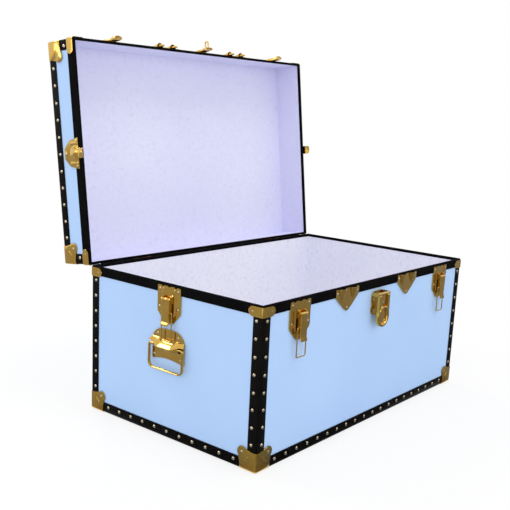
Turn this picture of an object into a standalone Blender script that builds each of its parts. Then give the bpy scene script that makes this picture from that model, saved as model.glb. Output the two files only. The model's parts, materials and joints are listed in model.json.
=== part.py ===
"""Storage trunk: a plywood box with black edging and brass fittings, its lid standing open.

Metres, +Z up. The origin is the middle of the footprint on the floor, and the front faces -Y.
A fitting is drawn in its own frame: X runs along the wall, Z is the height above the edge of the
rim, and -Y points away from the wall. A "proud" distance is measured out from the trunk's outer face.
"""

from math import cos, hypot, pi, radians, sin

import bmesh
import bpy
from mathutils import Matrix, Vector

# Overall sizes
TRUNK_LENGTH = 0.914
TRUNK_DEPTH = 0.555
BASE_HEIGHT = 0.376
LID_HEIGHT = 0.102
LID_OPEN_ANGLE = radians(97.0)
PARTING_GAP = 0.0005
CLEARANCE = 0.0003

# Box: panels, lining, edging and rim
PANEL_THICKNESS = 0.0032
LINING_THICKNESS = 0.0006
EDGING_THICKNESS = 0.0012
EDGING_WIDTH = 0.0264
RIM_THICKNESS = 0.0010
BASE_RIM_BAND = 0.0232
LID_RIM_BAND = 0.0269
RIM_LIP = 0.0080

# Corner caps and rim clips
CAP_THICKNESS = 0.0012
CAP_REACH = 0.046
CAP_WAIST = 0.012
CAP_EAR_CENTRE = 0.040
CAP_EAR_RADIUS = 0.0135
CAP_EAR_SPAN = (-40, 130)
CLIP_LENGTH = 0.038
CLIP_HEIGHT = 0.0225
CLIP_SETBACK = 0.0035

# Fitting plates
PLATE_THICKNESS = 0.0015
JOIN = 0.0004

# Draw catches
CATCH_FROM_END = 0.1295
CATCH_WIDTH = 0.075
CATCH_TOP = 0.006
CATCH_SHOULDER = 0.068
CATCH_TIP = 0.095
CATCH_TIP_WIDTH = 0.024
CATCH_CORNER = 0.004
LEVER_WIDTH = 0.0232
LEVER_WALL = 0.0018
LEVER_STANDOFF = 0.0082
LEVER_FRONT = 0.0045
LEVER_CLEAR = 0.0024
LEVER_PIVOT_DROP = 0.036
LEVER_LENGTH = 0.061
LEVER_HEAD = 0.005
LEVER_LIP = 0.003
LEVER_SCOOP = 0.012
LEVER_HEEL = 0.018
LEVER_HOLLOW_FOOT = 0.015
LEVER_PIN_RADIUS = 0.0016
EAR_THICKNESS = 0.0015
EAR_RADIUS = 0.0046
EAR_SPREAD = 0.011
EAR_SPAN = (-60, 60)
BAIL_WIRE_RADIUS = 0.0015
BAIL_STANDOFF = 0.0067
BAIL_PIVOT_DROP = 0.066
BAIL_LENGTH = 0.068
BAIL_PLAY = 0.0016
BAIL_BEND = 0.0045

# Lid hooks
HOOK_PLATE_WIDTH = 0.076
HOOK_PLATE_BOTTOM = 0.011
HOOK_PLATE_SHOULDER = 0.045
HOOK_PLATE_TOP = 0.066
HOOK_SHOULDER_WIDTH = 0.064
HOOK_TIP_WIDTH = 0.024
HOOK_CORNER = 0.005
HOOK_WIDTH = 0.022
HOOK_CROWN = 0.040
HOOK_PROUD = 0.0095
HOOK_LIP_PROUD = 0.0135
HOOK_LIP_DROP = 0.015
HOOK_BACK = 0.0032
HOOK_PLAY = 0.0006
HOOK_EASING = 0.0015

# Lid locators
LOCATOR_OFFSET = 0.1415
LOCATOR_WIDTH = 0.098
LOCATOR_EDGE = 0.004
LOCATOR_SHOULDER = 0.024
LOCATOR_TIP = 0.060
LOCATOR_TIP_WIDTH = 0.016
LOCATOR_CORNER = 0.006
POCKET_OFFSET = 0.024
POCKET_RADIUS = 0.0105
POCKET_TOE_RADIUS = 0.0028
POCKET_DEPTH = 0.036
POCKET_WALL = 0.0013
PRONG_RADIUS = 0.0068
PRONG_TOE_RADIUS = 0.0036
PRONG_REACH = 0.011
LID_LOCATOR_THICKNESS = 0.0024

# Centre lock
LOCK_WIDTH = 0.062
LOCK_TOP = 0.030
LOCK_BOTTOM = 0.099
LOCK_CORNER = 0.0207
HASP_WIDTH = 0.052
HASP_STANDOFF = 0.0142
HASP_PIVOT_DROP = 0.037
HASP_PIN_RADIUS = 0.002
HASP_ROLL_RADIUS = 0.0046
HASP_STRAP_THICKNESS = 0.0026
HASP_BAND_FRONT = 0.0072
HASP_BAND_START = 0.007
HASP_CHANNEL_PLAY = 0.0007
HASP_SLOT_PLAY = 0.0018
HASP_SLOT_ROOM = 0.0005
HASP_DISC_DROP = 0.057
HASP_DISC_RADIUS = 0.028
HASP_DISC_BACK = 0.002
HASP_DISC_FRONT = 0.008
HASP_RECESS_RADIUS = 0.0195
HASP_RECESS_DEPTH = 0.005
STAPLE_PLATE_WIDTH = 0.048
STAPLE_PLATE_BOTTOM = 0.004
STAPLE_PLATE_TOP = 0.042
STAPLE_CORNER = 0.010
TONGUE_WIDTH = 0.027
TONGUE_TOP = 0.040
TONGUE_KNEE_DROP = 0.0092
TONGUE_KNEE_PROUD = 0.0074
TONGUE_END_DROP = 0.0225
TONGUE_END_PROUD = 0.0112
TONGUE_THICKNESS = 0.0032
TONGUE_EASING = 0.0015
STAPLE_DROP = 0.0135
STAPLE_REACH = 0.030
STAPLE_RADIUS = 0.0055
STAPLE_WIRE_RADIUS = 0.002

# End handles
HANDLE_WIDTH = 0.104
HANDLE_CROWN = 0.109
HANDLE_SHOULDER = 0.130
HANDLE_BOTTOM = 0.187
HANDLE_ARCH = 0.007
HOOD_TOP = 0.140
HOOD_BOTTOM = 0.157
HOOD_END_PROUD = 0.0125
HOOD_BELLY_PROUD = 0.0195
RING_ROD_RADIUS = 0.00275
RING_STANDOFF = 0.0072
RING_PLAY = 0.0004
RING_SIDE_PLAY = 0.0009
RING_DROP = 0.058
RING_BEND = 0.013
RING_TOP_BEND = 0.005

# Stop hinges
HINGE_FROM_END = 0.177
HINGE_PROUD = 0.00265
HINGE_DROP = 0.0035
LEAF_WIDTH = 0.064
LEAF_HEIGHT = 0.056
LEAF_EDGE = 0.0005
KNUCKLE_RADIUS = 0.0023
KNUCKLE_WIDTH = 0.0214
KNUCKLE_ROOM = 0.001
HINGE_PIN_RADIUS = 0.0011
STOP_TAB_LENGTH = 0.016
STOP_TAB_THICKNESS = 0.0018

# Values that follow from the sizes above
SKIN = max(EDGING_THICKNESS, RIM_THICKNESS) + CLEARANCE
PANEL_BACK = SKIN + PANEL_THICKNESS + CLEARANCE
FLOOR_LIFT = CAP_THICKNESS + CLEARANCE
RIM_EDGE = FLOOR_LIFT + BASE_HEIGHT
PLATE_BACK = CLEARANCE
PLATE_FRONT = CLEARANCE + PLATE_THICKNESS
WALL_SEAT = CLEARANCE - SKIN
CATCH_OFFSET = TRUNK_LENGTH / 2 - CATCH_FROM_END
LEVER_PROUD = PLATE_FRONT + LEVER_STANDOFF
BAIL_PROUD = PLATE_FRONT + BAIL_STANDOFF
EAR_INNER = LEVER_WIDTH / 2 + CLEARANCE
BAIL_HALF = EAR_INNER + EAR_THICKNESS + BAIL_PLAY + BAIL_WIRE_RADIUS
HASP_PROUD = PLATE_FRONT + HASP_STANDOFF
HASP_CENTRE = -HASP_PIVOT_DROP - HASP_DISC_DROP
CHANNEL_HALF = TONGUE_WIDTH / 2 + HASP_CHANNEL_PLAY
STAPLE_OUTER = STAPLE_RADIUS + STAPLE_WIRE_RADIUS
STAPLE_RISE = HASP_PIVOT_DROP + PARTING_GAP - STAPLE_DROP
RING_PROUD = PLATE_FRONT + RING_STANDOFF
RING_UP = -(HOOD_TOP + HOOD_BOTTOM) / 2
HOOD_HALF = HANDLE_WIDTH / 2 - RING_SIDE_PLAY
RING_HALF = HOOD_HALF + RING_SIDE_PLAY + RING_ROD_RADIUS
HINGE_OFFSET = TRUNK_LENGTH / 2 - HINGE_FROM_END
KNUCKLE_HALF = KNUCKLE_WIDTH / 2
LID_RISE = HINGE_DROP + PARTING_GAP / 2

# Plan corners, and how finely curves are drawn
CORNERS = ((-1, -1), (1, -1), (1, 1), (-1, 1))
FAR = TRUNK_LENGTH + TRUNK_DEPTH
FINE_STEPS = 16
COARSE_STEPS = 10
BEND_STEPS = 6
EASE_STEPS = 3
EASE_LIMIT = 0.45
WIRE_RESOLUTION = 2
WELD = 0.00002


def material(name, colour, roughness, metallic=0.0):
    """Make a plain finish."""
    finish = bpy.data.materials.new(name)
    finish.use_nodes = True
    shader = finish.node_tree.nodes["Principled BSDF"]
    shader.inputs["Base Color"].default_value = (*colour, 1.0)
    shader.inputs["Roughness"].default_value = roughness
    shader.inputs["Metallic"].default_value = metallic
    return finish


def empty(name, parent=None, location=(0.0, 0.0, 0.0), rotation=(0.0, 0.0, 0.0)):
    """Place an empty that carries pieces."""
    holder = bpy.data.objects.new(name, None)
    bpy.context.collection.objects.link(holder)
    holder.parent = parent
    holder.location = location
    holder.rotation_euler = rotation
    return holder


def body_from(bm):
    """Turn a bmesh into an object of the scene."""
    bmesh.ops.recalc_face_normals(bm, faces=bm.faces)
    mesh = bpy.data.meshes.new("shape")
    bm.to_mesh(mesh)
    bm.free()
    body = bpy.data.objects.new("shape", mesh)
    bpy.context.collection.objects.link(body)
    return body


def combine(body, tool, operation="UNION"):
    """Join a tool to a body, or cut it away, and discard the tool."""
    modifier = body.modifiers.new("combine", "BOOLEAN")
    modifier.operation = operation
    modifier.object = tool
    graph = bpy.context.evaluated_depsgraph_get()
    shaped = bpy.data.meshes.new_from_object(body.evaluated_get(graph))
    body.modifiers.clear()
    body.data = shaped
    bpy.data.objects.remove(tool)
    return body


def cut(body, tool):
    """Cut a tool away from a body."""
    return combine(body, tool, "DIFFERENCE")


def place(body, name, finish, parent, pivot=(0.0, 0.0, 0.0)):
    """Name a body, give it its finish and hang it on its parent with its origin on the pivot."""
    body.name = name
    body.data.materials.clear()
    body.data.materials.append(finish)
    body.data.transform(Matrix.Translation(-Vector(pivot)))
    body.parent = parent
    body.location = pivot
    return body


def copy_to(body, name, parent):
    """Hang a copy of a finished piece on another parent."""
    twin = body.copy()
    twin.name = name
    bpy.context.collection.objects.link(twin)
    twin.parent = parent
    return twin


def box(low, high):
    """Make a box between two corners."""
    low = Vector(low)
    high = Vector(high)
    bm = bmesh.new()
    bmesh.ops.create_cube(bm, size=1.0)
    bmesh.ops.scale(bm, vec=high - low, verts=bm.verts)
    bmesh.ops.translate(bm, vec=(low + high) / 2, verts=bm.verts)
    return body_from(bm)


def prism(outline, axis, low, high):
    """Extrude an outline, given in the two other axes, along an axis."""
    level = "XYZ".index(axis)
    bm = bmesh.new()
    corners = []
    for point in outline:
        corner = list(point)
        corner.insert(level, low)
        corners.append(bm.verts.new(corner))
    face = bm.faces.new(corners)
    grown = bmesh.ops.extrude_face_region(bm, geom=[face])
    raised = [item for item in grown["geom"] if isinstance(item, bmesh.types.BMVert)]
    travel = Vector((0.0, 0.0, 0.0))
    travel[level] = high - low
    bmesh.ops.translate(bm, vec=travel, verts=raised)
    return body_from(bm)


def flat_plate(outline, back, front):
    """Make a plate parallel to the wall from an outline (along, up)."""
    return prism(outline, "Y", -front, -back)


def bar(profile, left, right):
    """Extrude a profile (proud, up) along the wall."""
    return prism([(-proud, up) for proud, up in profile], "X", left, right)


def arc(centre, radius, start, stop, steps):
    """Points on an arc, angles in degrees."""
    turns = [radians(start + (stop - start) * step / steps) for step in range(steps + 1)]
    return [(centre[0] + radius * cos(turn), centre[1] + radius * sin(turn)) for turn in turns]


def rod(proud, up, radius, left, right, steps=FINE_STEPS):
    """Make a round rod along the wall."""
    return bar(arc((proud, up), radius, 0, 360 - 360 / steps, steps - 1), left, right)


def disc(up, radius, back, front, steps=2 * FINE_STEPS):
    """Make a round disc parallel to the wall."""
    return flat_plate(arc((0.0, up), radius, 0, 360 - 360 / steps, steps - 1), back, front)


def eased(corners, reach):
    """Round the corners of an outline with curves that start a reach away from each corner."""
    outline = []
    for index, corner in enumerate(corners):
        here = Vector(corner)
        before = Vector(corners[index - 1]) - here
        after = Vector(corners[(index + 1) % len(corners)]) - here
        start = here + before.normalized() * min(reach, EASE_LIMIT * before.length)
        stop = here + after.normalized() * min(reach, EASE_LIMIT * after.length)
        for step in range(EASE_STEPS + 1):
            share = step / EASE_STEPS
            point = start * (1 - share) ** 2 + here * 2 * share * (1 - share) + stop * share ** 2
            outline.append(tuple(point))
    return outline


def mirrored(half):
    """Complete an outline from its right half, listed from top to bottom."""
    return half + [(-along, up) for along, up in reversed(half)]


def tube(points, radius, closed=False):
    """Make a round wire through points, as a mesh."""
    curve = bpy.data.curves.new("wire", "CURVE")
    curve.dimensions = "3D"
    curve.bevel_depth = radius
    curve.bevel_resolution = WIRE_RESOLUTION
    curve.use_fill_caps = True
    spline = curve.splines.new("POLY")
    spline.points.add(len(points) - 1)
    for spot, point in zip(spline.points, points):
        spot.co = (*point, 1.0)
    spline.use_cyclic_u = closed
    wire = bpy.data.objects.new("wire", curve)
    bpy.context.collection.objects.link(wire)
    graph = bpy.context.evaluated_depsgraph_get()
    mesh = bpy.data.meshes.new_from_object(wire.evaluated_get(graph))
    bpy.data.objects.remove(wire)
    bm = bmesh.new()
    bm.from_mesh(mesh)
    bmesh.ops.remove_doubles(bm, verts=bm.verts, dist=WELD)
    return body_from(bm)


def half_cone(along, top, bottom, top_radius, bottom_radius, flat):
    """Make an upright half cone that stands out from the proud distance flat."""
    bm = bmesh.new()
    bmesh.ops.create_cone(
        bm, cap_ends=True, segments=FINE_STEPS, radius1=bottom_radius, radius2=top_radius, depth=top - bottom
    )
    bmesh.ops.translate(bm, vec=(along, -flat, (top + bottom) / 2), verts=bm.verts)
    everything = bm.verts[:] + bm.edges[:] + bm.faces[:]
    bmesh.ops.bisect_plane(
        bm, geom=everything, plane_co=(along, -flat, top), plane_no=(0, 1, 0), clear_outer=True
    )
    bmesh.ops.holes_fill(bm, edges=bm.edges)
    return body_from(bm)


def frame_ring(section):
    """Sweep a section (inset, up) round the trunk's plan with mitred corners."""
    bm = bmesh.new()
    loops = []
    for inset, up in section:
        half_length = TRUNK_LENGTH / 2 - inset
        half_depth = TRUNK_DEPTH / 2 - inset
        loops.append([bm.verts.new((sx * half_length, sy * half_depth, up)) for sx, sy in CORNERS])
    for loop, following in zip(loops, loops[1:] + loops[:1]):
        for first, second in ((0, 1), (1, 2), (2, 3), (3, 0)):
            bm.faces.new((loop[first], loop[second], following[second], following[first]))
    return body_from(bm)


def inset_box(inset, bottom, top):
    """Make a box that lies an inset inside the trunk's plan."""
    half_length = TRUNK_LENGTH / 2 - inset
    half_depth = TRUNK_DEPTH / 2 - inset
    return box((-half_length, -half_depth, bottom), (half_length, half_depth, top))


def edging_frame(height, band):
    """Black angle along the closed face's edges and up the four corners."""
    top = height - band - CLEARANCE
    frame = inset_box(0.0, 0.0, top)
    cut(frame, inset_box(EDGING_THICKNESS, EDGING_THICKNESS, height))
    cut(frame, inset_box(EDGING_WIDTH, -EDGING_WIDTH, height))
    window = TRUNK_LENGTH / 2 - EDGING_WIDTH
    cut(frame, box((-window, -FAR, EDGING_WIDTH), (window, FAR, height)))
    window = TRUNK_DEPTH / 2 - EDGING_WIDTH
    return cut(frame, box((-FAR, -window, EDGING_WIDTH), (FAR, window, height)))


def rim_ring(height, band):
    """Channel that caps the panels' edges, with a deep outer flange and a short inner lip."""
    lip_back = PANEL_BACK + RIM_THICKNESS
    section = [
        (0.0, height - band),
        (0.0, height),
        (lip_back, height),
        (lip_back, height - RIM_LIP),
        (PANEL_BACK, height - RIM_LIP),
        (PANEL_BACK, height - RIM_THICKNESS),
        (RIM_THICKNESS, height - RIM_THICKNESS),
        (RIM_THICKNESS, height - band),
    ]
    return frame_ring(section)


def lining_tray(height):
    """Thin open tray against the inside of the panels."""
    top = height - RIM_LIP - CLEARANCE
    tray = inset_box(PANEL_BACK, PANEL_BACK, top)
    return cut(tray, inset_box(PANEL_BACK + LINING_THICKNESS, PANEL_BACK + LINING_THICKNESS, height))


def cap_outline(level):
    """One face of a corner cap: two arms along the edges and an ear on the diagonal."""
    ear = arc((CAP_EAR_CENTRE, CAP_EAR_CENTRE), CAP_EAR_RADIUS, *CAP_EAR_SPAN, COARSE_STEPS)
    return [(CAP_REACH, level), (CAP_REACH, CAP_WAIST), *ear, (CAP_WAIST, CAP_REACH), (level, CAP_REACH)]


def clip_outline(level):
    """One face of a rim clip: a strap with a rounded end."""
    round_end = arc((CLIP_LENGTH - CLIP_HEIGHT / 2, 0.0), CLIP_HEIGHT / 2, -90, 90, COARSE_STEPS)
    return [(level, -CLIP_HEIGHT / 2), *round_end, (level, CLIP_HEIGHT / 2)]


def folded_sheet(outline_at, corner_at, spots):
    """Fold one sheet round a corner: each face has an outer and an inner outline, joined at their rims."""
    outer = -CLEARANCE - CAP_THICKNESS
    inner = -CLEARANCE
    bm = bmesh.new()
    for spot in spots:
        outer_loop = [bm.verts.new(spot(point, outer)) for point in outline_at(outer)]
        inner_loop = [bm.verts.new(spot(point, inner)) for point in outline_at(inner)]
        outer_corner = [bm.verts.new(spot(point, outer)) for point in corner_at(outer)]
        inner_corner = [bm.verts.new(spot(point, inner)) for point in corner_at(inner)]
        bm.faces.new(outer_corner + outer_loop)
        bm.faces.new(inner_corner + inner_loop)
        for step in range(len(outer_loop) - 1):
            following = step + 1
            bm.faces.new((outer_loop[step], outer_loop[following], inner_loop[following], inner_loop[step]))
    bmesh.ops.remove_doubles(bm, verts=bm.verts, dist=WELD)
    return body_from(bm)


def corner_cap():
    """Pressed cap over a corner where three faces meet; the corner is the origin."""
    spots = (
        lambda point, level: (level, point[0], point[1]),
        lambda point, level: (point[1], level, point[0]),
        lambda point, level: (point[0], point[1], level),
    )
    return folded_sheet(cap_outline, lambda level: [(level, level)], spots)


def rim_clip():
    """Strap folded round an upright corner of the rim; the corner is the origin."""
    spots = (
        lambda point, level: (level, point[0], point[1]),
        lambda point, level: (point[0], level, point[1]),
    )
    return folded_sheet(clip_outline, lambda level: [], spots)


def four_corners(make, names, finish, parent, up):
    """Make a corner piece for each corner of the plan, mirrored as the corner asks."""
    for (sx, sy), name in zip(CORNERS, names):
        body = make()
        body.data.transform(Matrix.Diagonal((-sx, -sy, 1.0, 1.0)))
        if sx * sy < 0:
            body.data.flip_normals()
        body.data.transform(Matrix.Translation((sx * TRUNK_LENGTH / 2, sy * TRUNK_DEPTH / 2, up)))
        place(body, name, finish, parent)


def box_trim(prefix, height, band, finishes, parent, corner_names):
    """Lining, edging, rim, corner caps and rim clips of the base or of the lid."""
    place(lining_tray(height), f"{prefix}_lining", finishes["lining"], parent)
    place(edging_frame(height, band), f"{prefix}_edging", finishes["edging"], parent)
    place(rim_ring(height, band), f"{prefix}_rim", finishes["rim"], parent)
    caps = [f"{prefix}_corner_cap_{corner}" for corner in corner_names]
    four_corners(corner_cap, caps, finishes["brass"], parent, 0.0)
    clips = [f"{prefix}_rim_clip_{corner}" for corner in corner_names]
    four_corners(rim_clip, clips, finishes["brass"], parent, height - CLIP_SETBACK - CLIP_HEIGHT / 2)


def bottom_board():
    """Bottom panel, proud inside the edging and round the caps' ears so that the trunk stands flat on it."""
    board = inset_box(SKIN, SKIN, SKIN + PANEL_THICKNESS)
    edge = EDGING_WIDTH + CLEARANCE
    ear = CAP_EAR_CENTRE + CAP_EAR_RADIUS + CLEARANCE
    outline = []
    for (sx, sy), insets in zip(CORNERS, ((edge, ear), (ear, edge), (edge, ear), (ear, edge))):
        for inset_x, inset_y in (insets, (ear, ear), insets[::-1]):
            outline.append((sx * (TRUNK_LENGTH / 2 - inset_x), sy * (TRUNK_DEPTH / 2 - inset_y)))
    return combine(board, prism(outline, "Z", -FLOOR_LIFT, SKIN + JOIN))


def base_panels(finish, parent):
    """Bottom panel and the four walls that stand on it."""
    place(bottom_board(), "base_bottom_panel", finish, parent)
    top = BASE_HEIGHT - RIM_THICKNESS - CLEARANCE
    half_length = TRUNK_LENGTH / 2 - SKIN
    half_depth = TRUNK_DEPTH / 2 - SKIN
    for name, side in (("base_front_panel", -1), ("base_back_panel", 1)):
        faces = sorted((side * half_depth, side * (half_depth - PANEL_THICKNESS)))
        wall = box((-half_length, faces[0], PANEL_BACK), (half_length, faces[1], top))
        place(wall, name, finish, parent)
    end_depth = TRUNK_DEPTH / 2 - PANEL_BACK
    for name, side in (("base_left_panel", -1), ("base_right_panel", 1)):
        faces = sorted((side * half_length, side * (half_length - PANEL_THICKNESS)))
        wall = box((faces[0], -end_depth, PANEL_BACK), (faces[1], end_depth, top))
        place(wall, name, finish, parent)


def lid_panels(finish, parent):
    """Top panel and the frame of the lid's four sides."""
    place(inset_box(SKIN, SKIN, SKIN + PANEL_THICKNESS), "lid_top_panel", finish, parent)
    top = LID_HEIGHT - RIM_THICKNESS - CLEARANCE
    inner = SKIN + PANEL_THICKNESS
    section = [(SKIN, PANEL_BACK), (SKIN, top), (inner, top), (inner, PANEL_BACK)]
    place(frame_ring(section), "lid_side_frame", finish, parent)


def wall_plate(outline, front, relief=None):
    """Plate seated on the panel, relieved between two heights where it lies over the rim's flange."""
    plate = flat_plate(outline, WALL_SEAT, front)
    if relief:
        cut(plate, box((-FAR, -PLATE_BACK, relief[0]), (FAR, FAR, relief[1])))
    return plate


def over_base_rim(outline, front):
    """Plate on the base that laps over the rim."""
    return wall_plate(outline, front, (-BASE_RIM_BAND - CLEARANCE, BASE_RIM_BAND))


def over_lid_rim(outline, front):
    """Plate on the lid that laps over the rim."""
    return wall_plate(outline, front, (-LID_RIM_BAND, LID_RIM_BAND + CLEARANCE))


def pivot_ears(body, proud, up, radius, spread, inner, thickness, pin_radius):
    """Add a pair of ears and the pin between them to a plate."""
    for side in (-1, 1):
        foot = PLATE_FRONT - JOIN
        profile = [(foot, up - spread), *arc((proud, up), radius, *EAR_SPAN, BEND_STEPS), (foot, up + spread)]
        edges = sorted((side * inner, side * (inner + thickness)))
        combine(body, bar(profile, *edges))
    reach = inner + thickness / 2
    return combine(body, rod(proud, up, pin_radius, -reach, reach))


def catch_plate():
    """Shield-shaped plate with the lever's ears and pin."""
    half = [
        (CATCH_WIDTH / 2, -CATCH_TOP),
        (CATCH_WIDTH / 2, -CATCH_SHOULDER),
        (CATCH_TIP_WIDTH / 2, -CATCH_TIP),
    ]
    plate = over_base_rim(eased(mirrored(half), CATCH_CORNER), PLATE_FRONT)
    return pivot_ears(
        plate,
        LEVER_PROUD,
        -LEVER_PIVOT_DROP,
        EAR_RADIUS,
        EAR_SPREAD,
        EAR_INNER,
        EAR_THICKNESS,
        LEVER_PIN_RADIUS,
    )


def catch_lever():
    """Channel lever that hangs from the plate's pin and carries the bail in its side walls."""
    pivot = (LEVER_PROUD, -LEVER_PIVOT_DROP)
    back = PLATE_FRONT + LEVER_CLEAR
    front = LEVER_PROUD + LEVER_FRONT
    foot = -LEVER_PIVOT_DROP - LEVER_LENGTH
    head = arc(pivot, LEVER_HEAD, 180, 30, BEND_STEPS)
    tail = [
        (front, foot + LEVER_SCOOP),
        (front + LEVER_LIP, foot),
        (front, foot),
        (LEVER_PROUD, foot + LEVER_LIP),
        (back, foot + LEVER_HEEL),
    ]
    half_width = LEVER_WIDTH / 2
    lever = bar([*head, *tail, (back, -LEVER_PIVOT_DROP - LEVER_HEAD)], -half_width, half_width)
    hollow = [
        (PLATE_FRONT, -LEVER_PIVOT_DROP + LEVER_HEAD - LEVER_WALL),
        (front - LEVER_WALL, -LEVER_PIVOT_DROP + LEVER_HEAD - LEVER_WALL),
        (front - LEVER_WALL, foot + LEVER_HOLLOW_FOOT),
        (PLATE_FRONT, foot + LEVER_HOLLOW_FOOT),
    ]
    inside = half_width - LEVER_WALL
    cut(lever, bar(hollow, -inside, inside))
    cut(lever, rod(*pivot, LEVER_PIN_RADIUS + CLEARANCE, -LEVER_WIDTH, LEVER_WIDTH))
    bail_hole = BAIL_WIRE_RADIUS + CLEARANCE
    return cut(lever, rod(BAIL_PROUD, -BAIL_PIVOT_DROP, bail_hole, -LEVER_WIDTH, LEVER_WIDTH))


def bent_wire(corners, bend):
    """Points of a wire that runs through corners with a bend at each inner one."""
    points = [corners[0]]
    for before, here, after in zip(corners, corners[1:], corners[2:]):
        here = Vector(here)
        arrive = here + (Vector(before) - here).normalized() * bend
        leave = here + (Vector(after) - here).normalized() * bend
        for step in range(BEND_STEPS + 1):
            share = step / BEND_STEPS
            points.append(arrive * (1 - share) ** 2 + here * 2 * share * (1 - share) + leave * share ** 2)
    return points + [corners[-1]]


def catch_bail():
    """Wire loop that hangs from the lever, its ends turned into the lever's side walls."""
    inner = LEVER_WIDTH / 2 - LEVER_WALL
    corners = [
        (-inner, -BAIL_PROUD, -BAIL_PIVOT_DROP),
        (-BAIL_HALF, -BAIL_PROUD, -BAIL_PIVOT_DROP),
        (-BAIL_HALF, -BAIL_PROUD, -BAIL_PIVOT_DROP - BAIL_LENGTH),
        (BAIL_HALF, -BAIL_PROUD, -BAIL_PIVOT_DROP - BAIL_LENGTH),
        (BAIL_HALF, -BAIL_PROUD, -BAIL_PIVOT_DROP),
        (inner, -BAIL_PROUD, -BAIL_PIVOT_DROP),
    ]
    return tube(bent_wire(corners, BAIL_BEND), BAIL_WIRE_RADIUS)


def lid_hook():
    """Half-hexagon plate with a crowned tongue, whose lip takes the bail's crossbar."""
    half = [
        (HOOK_TIP_WIDTH / 2, HOOK_PLATE_TOP),
        (HOOK_SHOULDER_WIDTH / 2, HOOK_PLATE_SHOULDER),
        (HOOK_PLATE_WIDTH / 2, HOOK_PLATE_BOTTOM),
    ]
    plate = over_lid_rim(eased(mirrored(half), HOOK_CORNER), PLATE_FRONT)
    seat = BAIL_LENGTH - BAIL_PIVOT_DROP - PARTING_GAP
    room = BAIL_WIRE_RADIUS + HOOK_PLAY
    neck = BAIL_PROUD - room
    root = PLATE_FRONT - JOIN
    profile = [
        (root, HOOK_CROWN),
        (HOOK_PROUD, (HOOK_CROWN + HOOK_PLATE_BOTTOM) / 2),
        (HOOK_PROUD, seat + 2 * room),
        (neck, seat + room),
        (neck, seat - room),
        (HOOK_LIP_PROUD, seat - 2 * room),
        (HOOK_LIP_PROUD, -HOOK_LIP_DROP),
        (HOOK_BACK, -HOOK_LIP_DROP / 2),
        (HOOK_BACK, HOOK_PLATE_BOTTOM),
        (root, HOOK_PLATE_BOTTOM + HOOK_BACK),
    ]
    return combine(plate, bar(eased(profile, HOOK_EASING), -HOOK_WIDTH / 2, HOOK_WIDTH / 2))


def locator_outline(way):
    """Triangular plate whose tip points down (-1) or up (1)."""
    half = [
        (LOCATOR_WIDTH / 2, way * LOCATOR_EDGE),
        (LOCATOR_WIDTH / 2, way * LOCATOR_SHOULDER),
        (LOCATOR_TIP_WIDTH / 2, way * LOCATOR_TIP),
    ]
    return eased(mirrored(half), LOCATOR_CORNER)


def base_locator():
    """Plate with two half-cone pockets that open upwards."""
    plate = over_base_rim(locator_outline(-1), PLATE_FRONT)
    top = -LOCATOR_EDGE
    for along in (-POCKET_OFFSET, POCKET_OFFSET):
        toe = top - POCKET_DEPTH
        combine(plate, half_cone(along, top, toe, POCKET_RADIUS, POCKET_TOE_RADIUS, PLATE_FRONT - JOIN))
        bore = half_cone(
            along,
            top + POCKET_WALL,
            toe + POCKET_WALL,
            POCKET_RADIUS - POCKET_WALL,
            POCKET_TOE_RADIUS - POCKET_WALL,
            PLATE_FRONT - WELD,
        )
        cut(plate, bore)
    return plate


def lid_locator():
    """Plate with two half cones whose prongs enter the pockets as the lid closes."""
    plate = over_lid_rim(locator_outline(1), CLEARANCE + LID_LOCATOR_THICKNESS)
    flat = PLATE_FRONT + CLEARANCE
    toe = LOCATOR_EDGE + POCKET_DEPTH
    for along in (-POCKET_OFFSET, POCKET_OFFSET):
        combine(plate, half_cone(along, toe, LOCATOR_EDGE, POCKET_TOE_RADIUS, POCKET_RADIUS, flat))
        root = LOCATOR_EDGE + POCKET_WALL
        combine(plate, half_cone(along, root, -PRONG_REACH, PRONG_RADIUS, PRONG_TOE_RADIUS, flat))
    return plate


def lock_plate():
    """Back plate of the lock with the hasp's ears and pin."""
    half = [(LOCK_WIDTH / 2, -LOCK_TOP), (LOCK_WIDTH / 2, -LOCK_BOTTOM)]
    plate = wall_plate(eased(mirrored(half), LOCK_CORNER), PLATE_FRONT)
    inner = HASP_WIDTH / 2 + CLEARANCE
    return pivot_ears(
        plate,
        HASP_PROUD,
        -HASP_PIVOT_DROP,
        HASP_ROLL_RADIUS,
        HASP_ROLL_RADIUS,
        inner,
        EAR_THICKNESS,
        HASP_PIN_RADIUS,
    )


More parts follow.
